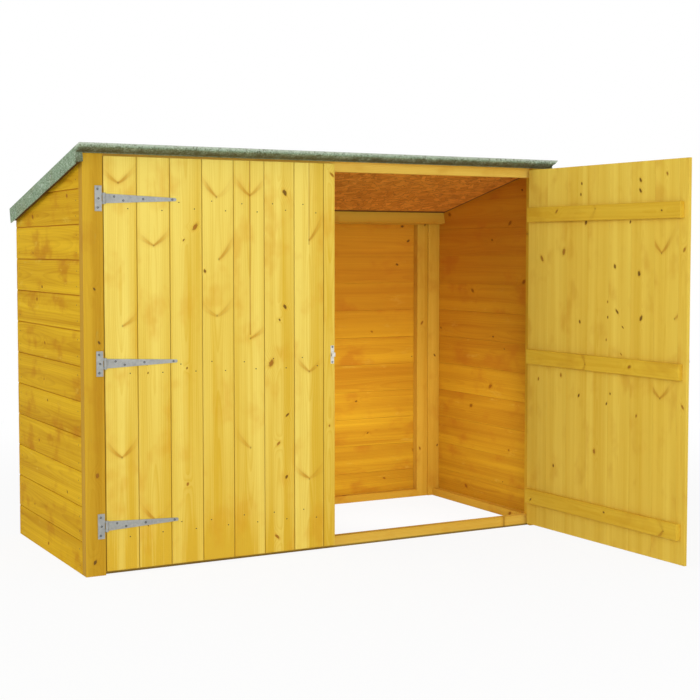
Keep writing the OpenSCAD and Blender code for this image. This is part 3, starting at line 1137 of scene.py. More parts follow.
def roof_corner() -> Pair:
    """Y and Z where the roof board's underside passes over the posts' front."""
    low, high = corners_of("left_front_post")
    return low[1], high[2]


def roof_underside(y: float | np.ndarray) -> float | np.ndarray:
    """Height of the underside of the roof board at a distance back."""
    front, top = roof_corner()
    return top - (y - front) * SLOPE


def slope_directions() -> tuple[np.ndarray, np.ndarray]:
    """The directions back along the roof's slope, and square out of the roof."""
    c, s = math.cos(ROOF_PITCH), math.sin(ROOF_PITCH)
    return np.array([0.0, c, -s]), np.array([0.0, s, c])


def on_slope(x: np.ndarray, back: np.ndarray, height: np.ndarray) -> np.ndarray:
    """Points given in the roof's own frame, put in the shelter's frame.

    Args:
        x: place along X.
        back: distance back along the slope, from the posts' front.
        height: height off the underside of the roof board.

    Returns:
        The points, with one more axis than the arguments.
    """
    back_dir, up_dir = slope_directions()
    start = np.array([0.0, *roof_corner()])
    return (start + np.asarray(x)[..., None] * TRUE_X + np.asarray(back)[..., None] * back_dir
            + np.asarray(height)[..., None] * up_dir)


# ---------------------------------------------------------------- nails and screws


@dataclass(frozen=True)
class Head:
    """A nail or screw head: a low dome, or a dished disc with a cross recess."""

    radius: float
    height: float
    sides: int = 8
    dished: bool = False

    def profile(self) -> np.ndarray:
        """Radius and height of each ring, from the rim in to the middle."""
        if self.dished:
            shares = [[1.0, 0.0], [1.0, 0.45], [0.86, 0.9], [0.5, 1.0], [0.36, 0.2]]
        else:
            shares = [[1.0, 0.0], [0.94, 0.6], [0.5, 1.0]]
        return np.array(shares) * [self.radius, self.height]

    def skins(self, places: np.ndarray, out: np.ndarray, spin: np.ndarray) -> Skin:
        """Heads at many places, facing one way.

        Ring k, point i of head n stands at place + r * (cos a * u + sin a * v) + h * out,
        with a = 2 pi i / sides + the head's own spin.

        Args:
            places: heads by 3, the middle of each head's foot.
            out: the direction that they face.
            spin: each head's own angle.

        Returns:
            All the heads in one skin.
        """
        side = np.cross(out, TRUE_Z if abs(out[2]) < 0.9 else TRUE_X)
        u = side / np.linalg.norm(side)
        v = np.cross(out, u)
        angle = np.arange(self.sides) * 2.0 * np.pi / self.sides
        rings = self.profile()
        turn = angle[None, :] + spin[:, None]
        flat = np.cos(turn)[..., None] * u + np.sin(turn)[..., None] * v
        points = (places[:, None, None, :] + rings[None, :, None, 0, None] * flat[:, None]
                  + rings[None, :, None, 1, None] * out)
        one = loft(points[0])
        heads = len(places)
        step = rings.shape[0] * self.sides
        corners = one.corners[None, :] + (np.arange(heads) * step)[:, None]
        return Skin(points.reshape(-1, 3), corners.ravel(), np.tile(one.sides, heads))


OVAL_NAIL = Head(radius=0.0022, height=0.0006)
CLOUT_NAIL = Head(radius=0.0042, height=0.0009, sides=10)
WOOD_SCREW = Head(radius=0.0036, height=0.0012, sides=12, dished=True)


# ---------------------------------------------------------------- boards


@dataclass(frozen=True)
class TongueAndGroove:
    """Section of a door board: a tongue on one edge, a groove in the other."""

    thickness: float = 0.012
    joint: float = 0.0008
    bevel: float = 0.0018
    back_bevel: float = 0.0004
    back_joint: float = 0.0002
    tongue: float = 0.0052
    low: float = 0.0046
    high: float = 0.0078

    def outline(self, width: float, grooved: bool, tongued: bool) -> np.ndarray:
        """The section, from the face at deep = 0.

        Args:
            width: what the board covers.
            grooved: whether the near edge has a groove.
            tongued: whether the far edge has a tongue.

        Returns:
            The outline, anticlockwise.
        """
        near = self.joint if grooved else 0.0
        far = width - self.joint if tongued else width
        near_back = self.back_joint if grooved else 0.0
        far_back = width - self.back_joint if tongued else width
        t, c, b = self.thickness, self.bevel, self.back_bevel
        points = [[near + c, 0.0], [far - c, 0.0], [far, c]]
        if tongued:
            points += [[far, self.low], [far + self.tongue, self.low],
                       [far + self.tongue, self.high], [far_back, self.high]]
        points += [[far_back, t - b], [far_back - b, t], [near_back + b, t], [near_back, t - b]]
        if grooved:
            play = 0.0003
            bottom = near + self.tongue + self.joint + play
            points += [[near_back, self.high + play], [bottom, self.high + play],
                       [bottom, self.low - play], [near, self.low - play]]
        points += [[near, c]]
        return np.array(points)


@dataclass(frozen=True)
class Shiplap:
    """Section of a wall board: its lower lip laps the tongue of the board below."""

    thickness: float = 0.012
    joint: float = 0.0016
    inner_joint: float = 0.0006
    bevel: float = 0.0008
    lap: float = 0.008
    scoop: float = 0.013
    scoop_depth: float = 0.0024

    def outline(self, width: float, lapped: bool, capped: bool) -> np.ndarray:
        """The section, from the outer face at deep = 0 and the lower edge at across = 0.

        Args:
            width: what the board covers.
            lapped: whether it laps a board below.
            capped: whether another board laps it above.

        Returns:
            The outline, anticlockwise.
        """
        t, half = self.thickness, self.thickness / 2.0
        low = self.joint if lapped else 0.0
        points = [[low + self.bevel, 0.0]]
        if capped:
            top = width - self.joint
            share = np.linspace(0.0, 1.0, 5)
            hollow = np.stack([top - self.scoop * (1.0 - share),
                               self.scoop_depth * share ** 2.2], axis=-1)
            points += hollow.tolist()
            points += [[top, half], [width + self.lap - self.inner_joint, half],
                       [width + self.lap - self.inner_joint, t]]
        else:
            points += [[width, 0.0], [width, t]]
        if lapped:
            points += [[self.lap, t], [self.lap, half], [low, half]]
        else:
            points += [[low, t]]
        points += [[low, self.bevel]]
        return np.array(points)


def covers(total: float, first: float, cover: float) -> list[Pair]:
    """The stretch that each board of a wall covers.

    Args:
        total: the wall's whole width.
        first: the width of the first board.
        cover: the width of each board after it.

    Returns:
        Start and width of each board.
    """
    starts = [0.0, *np.arange(first, total - 1e-6, cover).tolist()]
    ends = starts[1:] + [total]
    return [(a, b - a) for a, b in zip(starts, ends)]


# ---------------------------------------------------------------- sub-assemblies


class Side(Enum):
    """Left or right, as the sign of X."""

    LEFT = -1
    RIGHT = 1

    @property
    def word(self) -> str:
        """The word that starts its nodes' names."""
        return self.name.lower()


@dataclass
class TimberFrame:
    """Posts, rails, battens and bearers, one piece for each CAD node.

    Attributes:
        nosing: section of the strip under the front edge, back along the slope and up.
        nosing_short: how far that strip stops short of the roof's right edge.
        batten: width and height of the batten ahead of the back posts.
    """

    yard: TimberYard
    body: str = "shelter"
    slot: str = "frame_timber"
    knot_spacing: float = 0.5
    roof_knot_spacing: float = 0.4
    bearer_height: float = 0.032
    bearer_front: float = -0.0027
    nosing: tuple[Pair, ...] = (
        (-0.0445, -0.0003), (-0.0144, -0.0047), (-0.003, -0.0047), (-0.003, -0.0003))
    nosing_short: float = 0.028
    batten: Pair = (0.024, 0.044)

    LEFT_POST_KNOTS: ClassVar[tuple[Whorl, ...]] = (
        Whorl(0.045, 0.030, Knot.DEAD, 0.005), Whorl(0.321, 0.040, Knot.OVAL, 0.006),
        Whorl(0.742, 0.050, Knot.DEAD, 0.004), Whorl(0.911, 0.036, Knot.DEAD, 0.0035))

    def _fit(self, node: str, timber: Timber, finish: Material) -> None:
        """Puts a timber in place of its CAD node."""
        piece = timber.skin().to_piece(f"{node}_timber")
        dress(piece, finish, self.body, [node])

    def _beam(self, node: str, axis: int, finish: Material, sloped: bool = False,
              whorls: tuple[Whorl, ...] | None = None) -> None:
        """One straight timber in place of a CAD node that fills its own box.

        Args:
            node: the CAD node.
            axis: 0, 1 or 2 for grain along X, Y or Z.
            finish: its material.
            sloped: whether its top follows the roof.
            whorls: its knots, or None for knots by chance.
        """
        low, high = corners_of(node)
        size = high - low
        first, second = ((1, 2), (2, 0), (0, 1))[axis]
        directions = np.eye(3)
        lie = Lie(low, directions[first], directions[second], directions[axis])
        outline = rectangle(size[first], size[second])
        cut = Cut(size[axis])
        front = roof_underside(low[1]) - low[2]
        if sloped and axis == 2:
            cut = Cut(front, per_deep=-SLOPE)
        if sloped and axis == 0:
            back = roof_underside(high[1]) - low[2]
            outline = eased(
                np.array([[0.0, 0.0], [size[1], 0.0], [size[1], back], [0.0, front]]), ARRIS)
        if whorls is None:
            whorls = self.yard.round_knots(size[axis], size[first], self.knot_spacing)
        pith = (size[first] * 0.4, -0.5 * max(size[first], size[second]))
        tone = self.yard.tone() * 0.5
        self._fit(node, Timber(lie, outline, (cut,), whorls, tone, pith,
                               shift=self.yard.shift()), finish)

    def _roof_stick(self, node: str, x_range: Pair, outline: np.ndarray,
                    finish: Material) -> None:
        """A timber under the roof board, along X, with its section in the roof's slope.

        Args:
            node: the CAD node.
            x_range: where it starts and ends along X.
            outline: its section, back along the slope and up from the board's underside.
            finish: its material.
        """
        start, end = x_range
        lie = Lie(on_slope(start, 0.0, 0.0), *slope_directions(), TRUE_X)
        knots = self.yard.knots(end - start, 0.03, self.roof_knot_spacing)
        self._fit(node, Timber(lie, outline, (Cut(end - start),), knots, 0.0, (0.01, -0.03),
                               shift=self.yard.shift()), finish)

    def _bearer(self, side: Side, finish: Material) -> None:
        """The timber under the roof's side edge, along the slope."""
        back_dir, up_dir = slope_directions()
        post_out = corners_of("right_front_post")[1][0] + SEAT_GAP
        width = ROOF_HALF_WIDTH - post_out
        corner = on_slope(side.value * post_out, self.bearer_front, -self.bearer_height)
        lie = Lie(corner, side.value * TRUE_X, up_dir, back_dir)
        length = ROOF_BACK - self.bearer_front
        knots = self.yard.knots(length, width, self.roof_knot_spacing)
        timber = Timber(lie, rectangle(width, self.bearer_height), (Cut(length),), knots, 0.1,
                        (0.0, -0.03), shift=self.yard.shift())
        self._fit(f"{side.word}_roof_bearer", timber, finish)

    def build(self) -> None:
        """Builds every frame timber."""
        post = POST_STAIN.material()
        rail = FRAME_STAIN.material()
        inner = INNER_STAIN.material()
        shaded = SHADED_TIMBER.material()
        self._beam("left_front_post", 2, post, sloped=True, whorls=self.LEFT_POST_KNOTS)
        self._beam("right_front_post", 2, post, sloped=True)
        self._beam("front_top_rail", 0, rail, sloped=True)
        self._beam("front_sill", 0, rail)
        for side in Side:
            self._beam(f"{side.word}_back_post", 2, inner, sloped=True)
            self._beam(f"{side.word}_bottom_rail", 1, inner)
            self._beam(f"back_{side.word}_batten", 2, inner, sloped=True)
            self._bearer(side, shaded)
        self._beam("back_top_rail", 0, inner, sloped=True)
        self._beam("back_bottom_rail", 0, inner)
        self._roof_stick("roof_nosing", (-ROOF_HALF_WIDTH, ROOF_HALF_WIDTH - self.nosing_short),
                         np.array(self.nosing), shaded)
        post_low, post_high = corners_of("right_back_post")
        reach = post_high[0] - SEAT_GAP
        width, height = self.batten
        post_back = (post_low[1] - roof_corner()[0]) / math.cos(ROOF_PITCH) - height * SLOPE
        self._roof_stick("roof_back_batten", (-reach, reach),
                         rectangle(width, height) + [post_back - width, -height], inner)


@dataclass
class Walls:
    """Shiplap boards of both sides and the back, with their nails.

    Attributes:
        first: what the lowest board covers.
        cover: what each board above it covers.
        nail_inset: how far nails stand in from a side wall's ends.
        back_nail_insets: how far they stand in from the back wall's ends.
        nail_shares: how far up each board they stand, as shares of its width.
        roof_clear: how far under the roof the highest nails stay.
    """

    yard: TimberYard
    section: Shiplap = field(default_factory=Shiplap)
    first: float = 0.106
    cover: float = 0.112
    body: str = "shelter"
    slot: str = "wall_boards"
    nail_inset: float = 0.028
    back_nail_insets: Pair = (0.025, 0.07)
    nail_shares: Pair = (0.25, 0.72)
    roof_clear: float = 0.03

    def _board(self, corner: Sequence[float], deep: np.ndarray, along: np.ndarray,
               outline: np.ndarray, width: float, cuts: tuple[Cut, ...]) -> Skin:
        """One level board, with knots and tone by chance.

        Args:
            corner: its lower outer corner.
            deep: the direction into the wall.
            along: the direction of its grain.
            outline: its section.
            width: what it covers.
            cuts: its end cuts, of which the first is square.

        Returns:
            Its skin.
        """
        knots = self.yard.round_knots(cuts[0].at, width, 0.6)
        tone = self.yard.tone() * 0.6
        return Timber(Lie(np.array(corner), TRUE_Z, deep, along), outline, cuts, knots, tone,
                      self.yard.pith(width), shift=self.yard.shift()).skin()

    def _raise(self, node: str, skins: list[Skin], finish: Material) -> None:
        """Puts a wall's boards in place of its CAD node."""
        piece = Skin.joined(skins).to_piece(f"{node}_shiplap")
        dress(piece, finish, self.body, [node])

    def _nail(self, node: str, places: np.ndarray, out: np.ndarray) -> None:
        """Nails a wall."""
        drive_nails(f"{node}_nails", places, out, self.body, self.yard)

    def _side(self, side: Side, finish: Material) -> None:
        """The boards of one side, level, with the upper ones cut to the roof."""
        node = f"{side.word}_side_boards"
        low, high = corners_of(node)
        outer = side.value * max(abs(low[0]), abs(high[0]))
        inward = -side.value * TRUE_X
        run = high[1] - low[1]
        full = roof_underside(low[1]) - low[2]
        back = roof_underside(high[1]) - low[2]
        rows = covers(full, self.first, self.cover)
        skins = []
        for row, (start, width) in enumerate(rows):
            outline = self.section.outline(width, row > 0, row < len(rows) - 1)
            outline = split_across(outline, back - start)
            roof_cut = Cut((full - start) / SLOPE, per_across=-1.0 / SLOPE)
            skins.append(self._board((outer, low[1], low[2] + start), inward, TRUE_Y, outline,
                                     width, (Cut(run), roof_cut)))
        self._raise(node, skins, finish)

        y, z = np.meshgrid(
            [low[1] + self.nail_inset, high[1] - self.nail_inset],
            [low[2] + start + min(width, self.cover) * share
             for start, width in rows for share in self.nail_shares])
        y = y + self.yard.jitter(0.004, y.shape)
        z = z + self.yard.jitter(0.005, z.shape)
        keep = z < roof_underside(y) - self.roof_clear
        self._nail(node, np.stack([np.full(y.shape, outer), y, z], axis=-1)[keep], -inward)

    def _back(self, finish: Material) -> None:
        """The boards of the back wall, level, the top one ripped to the roof's slope."""
        node = "back_boards"
        low, high = corners_of(node)
        full = roof_underside(high[1]) - low[2]
        rows = covers(full, self.first, self.cover)
        thickness = self.section.thickness
        skins = []
        for row, (start, width) in enumerate(rows):
            last = row == len(rows) - 1
            outline = self.section.outline(width, row > 0, not last)
            if last:
                inner_top = (outline[:, 0] > width - 1e-4) & (outline[:, 1] > thickness / 2.0)
                outline[inner_top, 0] += thickness * SLOPE
            skins.append(self._board((low[0], high[1], low[2] + start), -TRUE_Y, TRUE_X, outline,
                                     width, (Cut(high[0] - low[0]),)))
        self._raise(node, skins, finish)

        near, far = self.back_nail_insets
        x, z = np.meshgrid(
            [low[0] + near, low[0] + far, high[0] - far, high[0] - near],
            [low[2] + start + width * share for start, width in rows
             for share in self.nail_shares])
        x = x + self.yard.jitter(0.004, x.shape)
        places = np.stack([x, np.full(x.shape, high[1]), z], axis=-1).reshape(-1, 3)
        self._nail(node, places, TRUE_Y)

    def build(self) -> None:
        """Builds both sides and the back."""
        finish = WALL_STAIN.material()
        for side in Side:
            self._side(side, finish)
        self._back(finish)


@lru_cache
def head_metal(finish: ZincFinish) -> Material:
    """The one material that all heads of a finish share."""
    return finish.material()


def drive_nails(name: str, places: np.ndarray, out: np.ndarray, body: str,
                yard: TimberYard, head: Head = OVAL_NAIL, turn: Turn | None = None,
                finish: ZincFinish = NAIL_IRON) -> None:
    """Nail or screw heads on a face, joined in one piece.

    Args:
        name: the piece's name.
        places: the middle of each head's foot.
        out: the direction that the heads face.
        body: the body that they ride on.
        yard: where their chance angles come from.
        head: the shape of one head.
        turn: a turn applied after they are made.
        finish: their finish.
    """
    spin = yard.rng.uniform(0.0, 2.0 * np.pi, len(places))
    sunk = places - out * head.height * 0.3
    piece = head.skins(sunk, out, spin).turned(turn).to_piece(name)
    dress(piece, head_metal(finish), body)


# Knots of each board, from the hinge edge: height in mm, share of the width, kind, and the
# radius in mm of an oval, or how far a spike climbs for each metre out
KNOT_MM = dict[int, tuple[tuple[int, float, Knot, float], ...]]
OVAL, DEAD, SPIKES, LEFT_SPIKE, RIGHT_SPIKE = Knot

LEFT_DOOR_KNOTS: KNOT_MM = {
    0: ((373, 0.50, SPIKES, 0.7), (793, 0.55, RIGHT_SPIKE, 0.5),
        (1246, 0.45, SPIKES, 0.62)),
    1: ((161, 0.50, SPIKES, 0.8), (640, 0.30, DEAD, 2.2),
        (1048, 0.50, SPIKES, 0.62)),
    2: ((270, 0.50, OVAL, 4.0), (650, 0.50, DEAD, 2.5), (1066, 0.42, DEAD, 2.6),
        (1109, 0.78, OVAL, 8.0)),
    3: ((819, 0.46, SPIKES, 0.62), (965, 0.08, DEAD, 4.0),
        (1004, 0.52, RIGHT_SPIKE, 1.0), (1207, 0.46, SPIKES, 0.85)),
    4: ((374, 0.53, LEFT_SPIKE, 0.85), (740, 0.53, RIGHT_SPIKE, 0.45),
        (1214, 0.53, SPIKES, 0.72)),
    5: ((64, 0.40, OVAL, 6.0), (265, 0.72, DEAD, 4.5), (381, 0.45, OVAL, 5.0),
        (476, 0.75, DEAD, 4.5), (654, 0.22, OVAL, 9.0), (799, 0.50, DEAD, 3.0),
        (843, 0.68, DEAD, 5.5), (1226, 0.68, DEAD, 7.0)),
    6: ((251, 0.50, SPIKES, 0.6), (621, 0.50, SPIKES, 0.75),
        (1068, 0.50, RIGHT_SPIKE, 1.1)),
    7: ((430, 0.50, OVAL, 3.0), (1290, 0.75, OVAL, 5.5)),
}

RIGHT_DOOR_KNOTS: KNOT_MM = {
    0: ((1003, 0.75, OVAL, 7.0), (560, 0.60, OVAL, 4.0)),
    1: ((584, 0.75, OVAL, 5.0), (1028, 0.85, OVAL, 8.0), (250, 0.40, DEAD, 4.0)),
    2: ((519, 0.64, DEAD, 4.0), (781, 0.66, DEAD, 4.2), (1131, 0.92, DEAD, 6.0),
        (1229, 0.66, DEAD, 3.5), (1267, 0.70, DEAD, 3.5)),
    3: ((504, 0.96, DEAD, 3.5), (725, 0.92, OVAL, 3.0), (803, 0.98, DEAD, 3.0),
        (856, 0.97, OVAL, 3.0), (330, 0.40, OVAL, 6.0)),
    4: ((540, 0.12, DEAD, 3.0), (680, 0.60, OVAL, 3.0), (772, 0.66, DEAD, 3.0),
        (824, 0.40, DEAD, 5.0), (978, 0.28, DEAD, 5.0), (1128, 0.95, DEAD, 3.5)),
    5: ((477, 0.30, OVAL, 4.0), (806, 0.46, DEAD, 6.0), (955, 0.36, DEAD, 6.0),
        (1231, 0.38, DEAD, 5.0), (1266, 0.38, DEAD, 5.0)),
    6: ((546, 0.30, SPIKES, 0.7), (811, 0.86, RIGHT_SPIKE, 0.8),
        (1023, 0.30, SPIKES, 0.9), (1282, 0.50, OVAL, 4.0)),
    7: ((528, 0.60, OVAL, 5.0), (647, 0.40, DEAD, 3.0), (1035, 0.60, OVAL, 5.0)),
}


@dataclass
class DoorLeaf:
    """One ledged door: upright boards, three ledges and nails.

    The leaf is made shut, and turned about its pins where it rests open.

    Attributes:
        knots: the boards' knots.
        tones: the boards' tones, from the hinge edge.
        hearts: boards with their pith bare: strength, start and end up the board.
        halves: how much darker a board is past its pith.
        open_angle: how far the leaf rests open, in degrees.
        first: what the board at the hinge edge covers.
        cover: what each board after it covers.
        nail_shares: the nails' places across each board.
        nail_spread: how far the nails of a pair stand above and below their middle.
        nail_lift: how far that is above a ledge's middle.
        nailed_width: the narrowest board that is nailed.
        hinge_ease: how far the first board stands out past the solid leaf's hinge edge.
        ledge_ease: how much is planed off each edge of a ledge.
    """

    side: Side
    yard: TimberYard
    knots: KNOT_MM
    tones: tuple[float, ...]
    hearts: dict[int, Triple] = field(default_factory=dict)
    halves: dict[int, float] = field(default_factory=dict)
    open_angle: float = 0.0
    face: TimberFinish = DOOR_STAIN
    back: TimberFinish = LEDGE_STAIN
    section: TongueAndGroove = field(default_factory=TongueAndGroove)
    first: float = 0.1069
    cover: float = 0.1115
    nail_shares: Pair = (0.28, 0.74)
    nail_spread: float = 0.013
    nail_lift: float = 0.013
    nailed_width: float = 0.06
    hinge_ease: float = 0.0025
    ledge_ease: float = 0.0022

    @property
    def body(self) -> str:
        """The body that the leaf rides on."""
        return f"{self.side.word}_door"

    @property
    def turn(self) -> Turn | None:
        """The turn from shut to how the leaf rests."""
        if not self.open_angle:
            return None
        x, y, _ = self.pin()
        return Turn(x, y, math.radians(self.open_angle))

    def pin(self) -> np.ndarray:
        """The hinge pin's place."""
        name = f"{self.body}_hinge"
        return np.array(next(j["pos_m"] for j in frame["joints"] if j["name"] == name))

    def shut_box(self, node: str) -> tuple[np.ndarray, np.ndarray]:
        """The box of a node of this leaf when shut, from its like on the left leaf."""
        low, high = corners_of(f"left_{node}")
        if self.side is Side.LEFT:
            return low, high
        flip = np.array([-1.0, 1.0, 1.0])
        return np.minimum(low * flip, high * flip), np.maximum(low * flip, high * flip)

    def _layout(self) -> tuple[Lie, list[Pair], float]:
        """How the shut boards lie: across from the hinge edge, deep from the outer face.

        Returns:
            Their lie, the start and width of each, and their length.
        """
        low, high = self.shut_box("door_boards")
        hinge_x = low[0] if self.side is Side.LEFT else high[0]
        lie = Lie(np.array([hinge_x, low[1], low[2]]), -self.side.value * TRUE_X, TRUE_Y, TRUE_Z)
        return lie, covers(high[0] - low[0], self.first, self.cover), high[2] - low[2]

    def _whorls(self, row: int, width: float, foot: float) -> tuple[Whorl, ...]:
        """The knots of one board, whose foot stands at that height."""
        return tuple(
            Whorl(z / 1000.0 - foot, width * share, kind,
                  size / 1000.0 if kind in (Knot.OVAL, Knot.DEAD) else size)
            for z, share, kind, size in self.knots.get(row, ()))

    def _boards(self, finish: Material) -> None:
        """The upright boards."""
        base, rows, length = self._layout()
        skins = []
        for row, (start, width) in enumerate(rows):
            ease = 0.0 if row else self.hinge_ease
            outline = self.section.outline(width + ease, row > 0, row < len(rows) - 1)
            lie = replace(base, corner=base.corner + base.across * (start - ease))
            whorls = self._whorls(row, width, base.corner[2])
            heart = self.hearts.get(row, (0.0, 0.0, 0.0))
            centre = whorls[0].across if heart[0] and whorls else width * 0.5
            pith = (centre, TimberFinish.DOOR_PITH)
            skins.append(Timber(lie, outline, (Cut(length),), whorls, self.tones[row], pith,
                                heart, self.yard.shift(), self.halves.get(row, 0.0)).skin())
        node = f"{self.side.word}_door_boards"
        piece = Skin.joined(skins).turned(self.turn).to_piece(f"{node}_matched")
        dress(piece, finish, self.body, [node])

    def _ledges(self, finish: Material) -> None:
        """The three ledges across the back."""
        for place in LEDGE_PLACES:
            low, high = self.shut_box(f"door_{place}_ledge")
            size = high - low
            lie = Lie(np.array([low[0], high[1], low[2]]), TRUE_Z, -TRUE_Y, TRUE_X)
            outline = rectangle(size[2], size[1], self.ledge_ease)
            timber = Timber(lie, outline, (Cut(size[0]),),
                            self.yard.knots(size[0], size[2], 0.33), self.yard.tone() * 0.4,
                            (size[2] * 0.5, -0.03), shift=self.yard.shift())
            node = f"{self.side.word}_door_{place}_ledge"
            piece = timber.skin().turned(self.turn).to_piece(f"{node}_timber")
            dress(piece, finish, self.body, [node])

    def _nails(self) -> None:
        """Two nails through each board into each ledge, one high and one low."""
        base, rows, _ = self._layout()
        across = np.array([start + width * share for start, width in rows
                           if width > self.nailed_width for share in self.nail_shares])
        rise = np.tile([self.nail_spread, -self.nail_spread], len(across) // 2)
        middles = np.array([sum(self.shut_box(f"door_{place}_ledge"))[2] / 2.0
                            for place in LEDGE_PLACES])
        height = middles[:, None] + self.nail_lift + rise - base.corner[2]
        points = np.stack([np.broadcast_to(across, height.shape), np.zeros(height.shape), height],
                          axis=-1).reshape(-1, 3)
        points[:, 0] += self.yard.jitter(0.006, len(points))
        points[:, 2] += self.yard.jitter(0.004, len(points))
        drive_nails(f"{self.body}_nails", base.place(points), -TRUE_Y, self.body,
                    self.yard, turn=self.turn)

    def build(self) -> None:
        """Builds the leaf."""
        self._boards(self.face.material())
        self._ledges(self.back.material())
        self._nails()


@dataclass
class Ironmongery:
    """Hinges, keep and bolt: the CAD parts with eased edges, and their screws.

    Attributes:
        strap_screws: distance from the pin and height off the hinge's middle.
        plate_screws: the same, on the post.
        keep_screws: height off the keep's middle.
        bolt_screws: distance from the bolt's end and height off its middle.
        hinge_sheet: thickness of a hinge's sheet.
        latch_sheet: thickness of the keep's and the bolt's sheet.
        bolt_inset: how far the bolt's end stands in from the leaf's edge.
        edge: radius of the rolled edge.
    """

    leaf: DoorLeaf
    strap_screws: tuple[Pair, ...] = (
        (0.034, 0.0062), (0.064, -0.0058), (0.130, 0.0), (0.229, 0.0))
    plate_screws: tuple[Pair, ...] = ((0.020, 0.029), (0.017, 0.0), (0.020, -0.029))
    keep_screws: tuple[float, ...] = (-0.026, 0.026)
    bolt_screws: tuple[Pair, ...] = (
        (0.006, -0.012), (0.006, 0.012), (0.094, -0.012), (0.094, 0.012))
    hinge_sheet: float = 0.0025
    latch_sheet: float = 0.002
    bolt_inset: float = 0.008
    edge: float = 0.0005

    def _sheet(self, node: str, finish: Material) -> None:
        """Gives a CAD part its finish and a rolled edge."""
        part = frame["nodes"][node]
        part.data.materials.clear()
        part.data.materials.append(finish)
        bevel = part.modifiers.new("rolled_edge", "BEVEL")
        bevel.width = self.edge
        bevel.segments = 2
        bevel.limit_method = "ANGLE"
        bevel.angle_limit = math.radians(50.0)

    def _screws(self, name: str, places: list[list[float]], body: str, turn: Turn | None) -> None:
        """Screws that face the front while the leaf is shut."""
        drive_nails(f"{self.leaf.side.word}_{name}_screws", np.array(places), -TRUE_Y, body,
                    self.leaf.yard, WOOD_SCREW, turn, SCREW_STEEL)

    def build(self) -> None:
        """Dresses the hinges of the leaf and its latch part, and sets their screws."""
        zinc = GALVANISED.material()
        word = self.leaf.side.word
        inward = -self.leaf.side.value
        boards_low, boards_high = corners_of("left_door_boards")
        face = boards_low[1] - self.hinge_sheet
        pin_x = self.leaf.pin()[0]
        straps, plates = [], []
        for place in LEDGE_PLACES:
            self._sheet(f"{word}_{place}_strap", zinc)
            self._sheet(f"{word}_{place}_plate", zinc)
            low, high = corners_of(f"left_{place}_plate")
            z = (low[2] + high[2]) / 2.0
            straps += [[pin_x + inward * x, face, z + up] for x, up in self.strap_screws]
            plates += [[pin_x - inward * x, face, z + up] for x, up in self.plate_screws]
        self._screws("strap", straps, self.leaf.body, self.leaf.turn)
        self._screws("plate", plates, "shelter", None)
        self._latch(boards_low[1] - self.latch_sheet, -boards_high[0] + self.bolt_inset)

    def _latch(self, face: float, bolt_x: float) -> None:
        """The keep on the left leaf, or the bolt on the right one.

        Args:
            face: Y of the latch's outer face.
            bolt_x: X of the bolt's end.
        """
        bright = BRIGHT_ZINC.material()
        low, high = corners_of("left_door_keep")
        x, _, z = (low + high) / 2.0
        if self.leaf.side is Side.LEFT:
            self._sheet("left_door_keep", bright)
            places = [[x, face, z + up] for up in self.keep_screws]
        else:
            self._sheet("right_door_bolt", bright)
            places = [[bolt_x + along, face, z + up] for along, up in self.bolt_screws]
        self._screws("latch", places, self.leaf.body, self.leaf.turn)


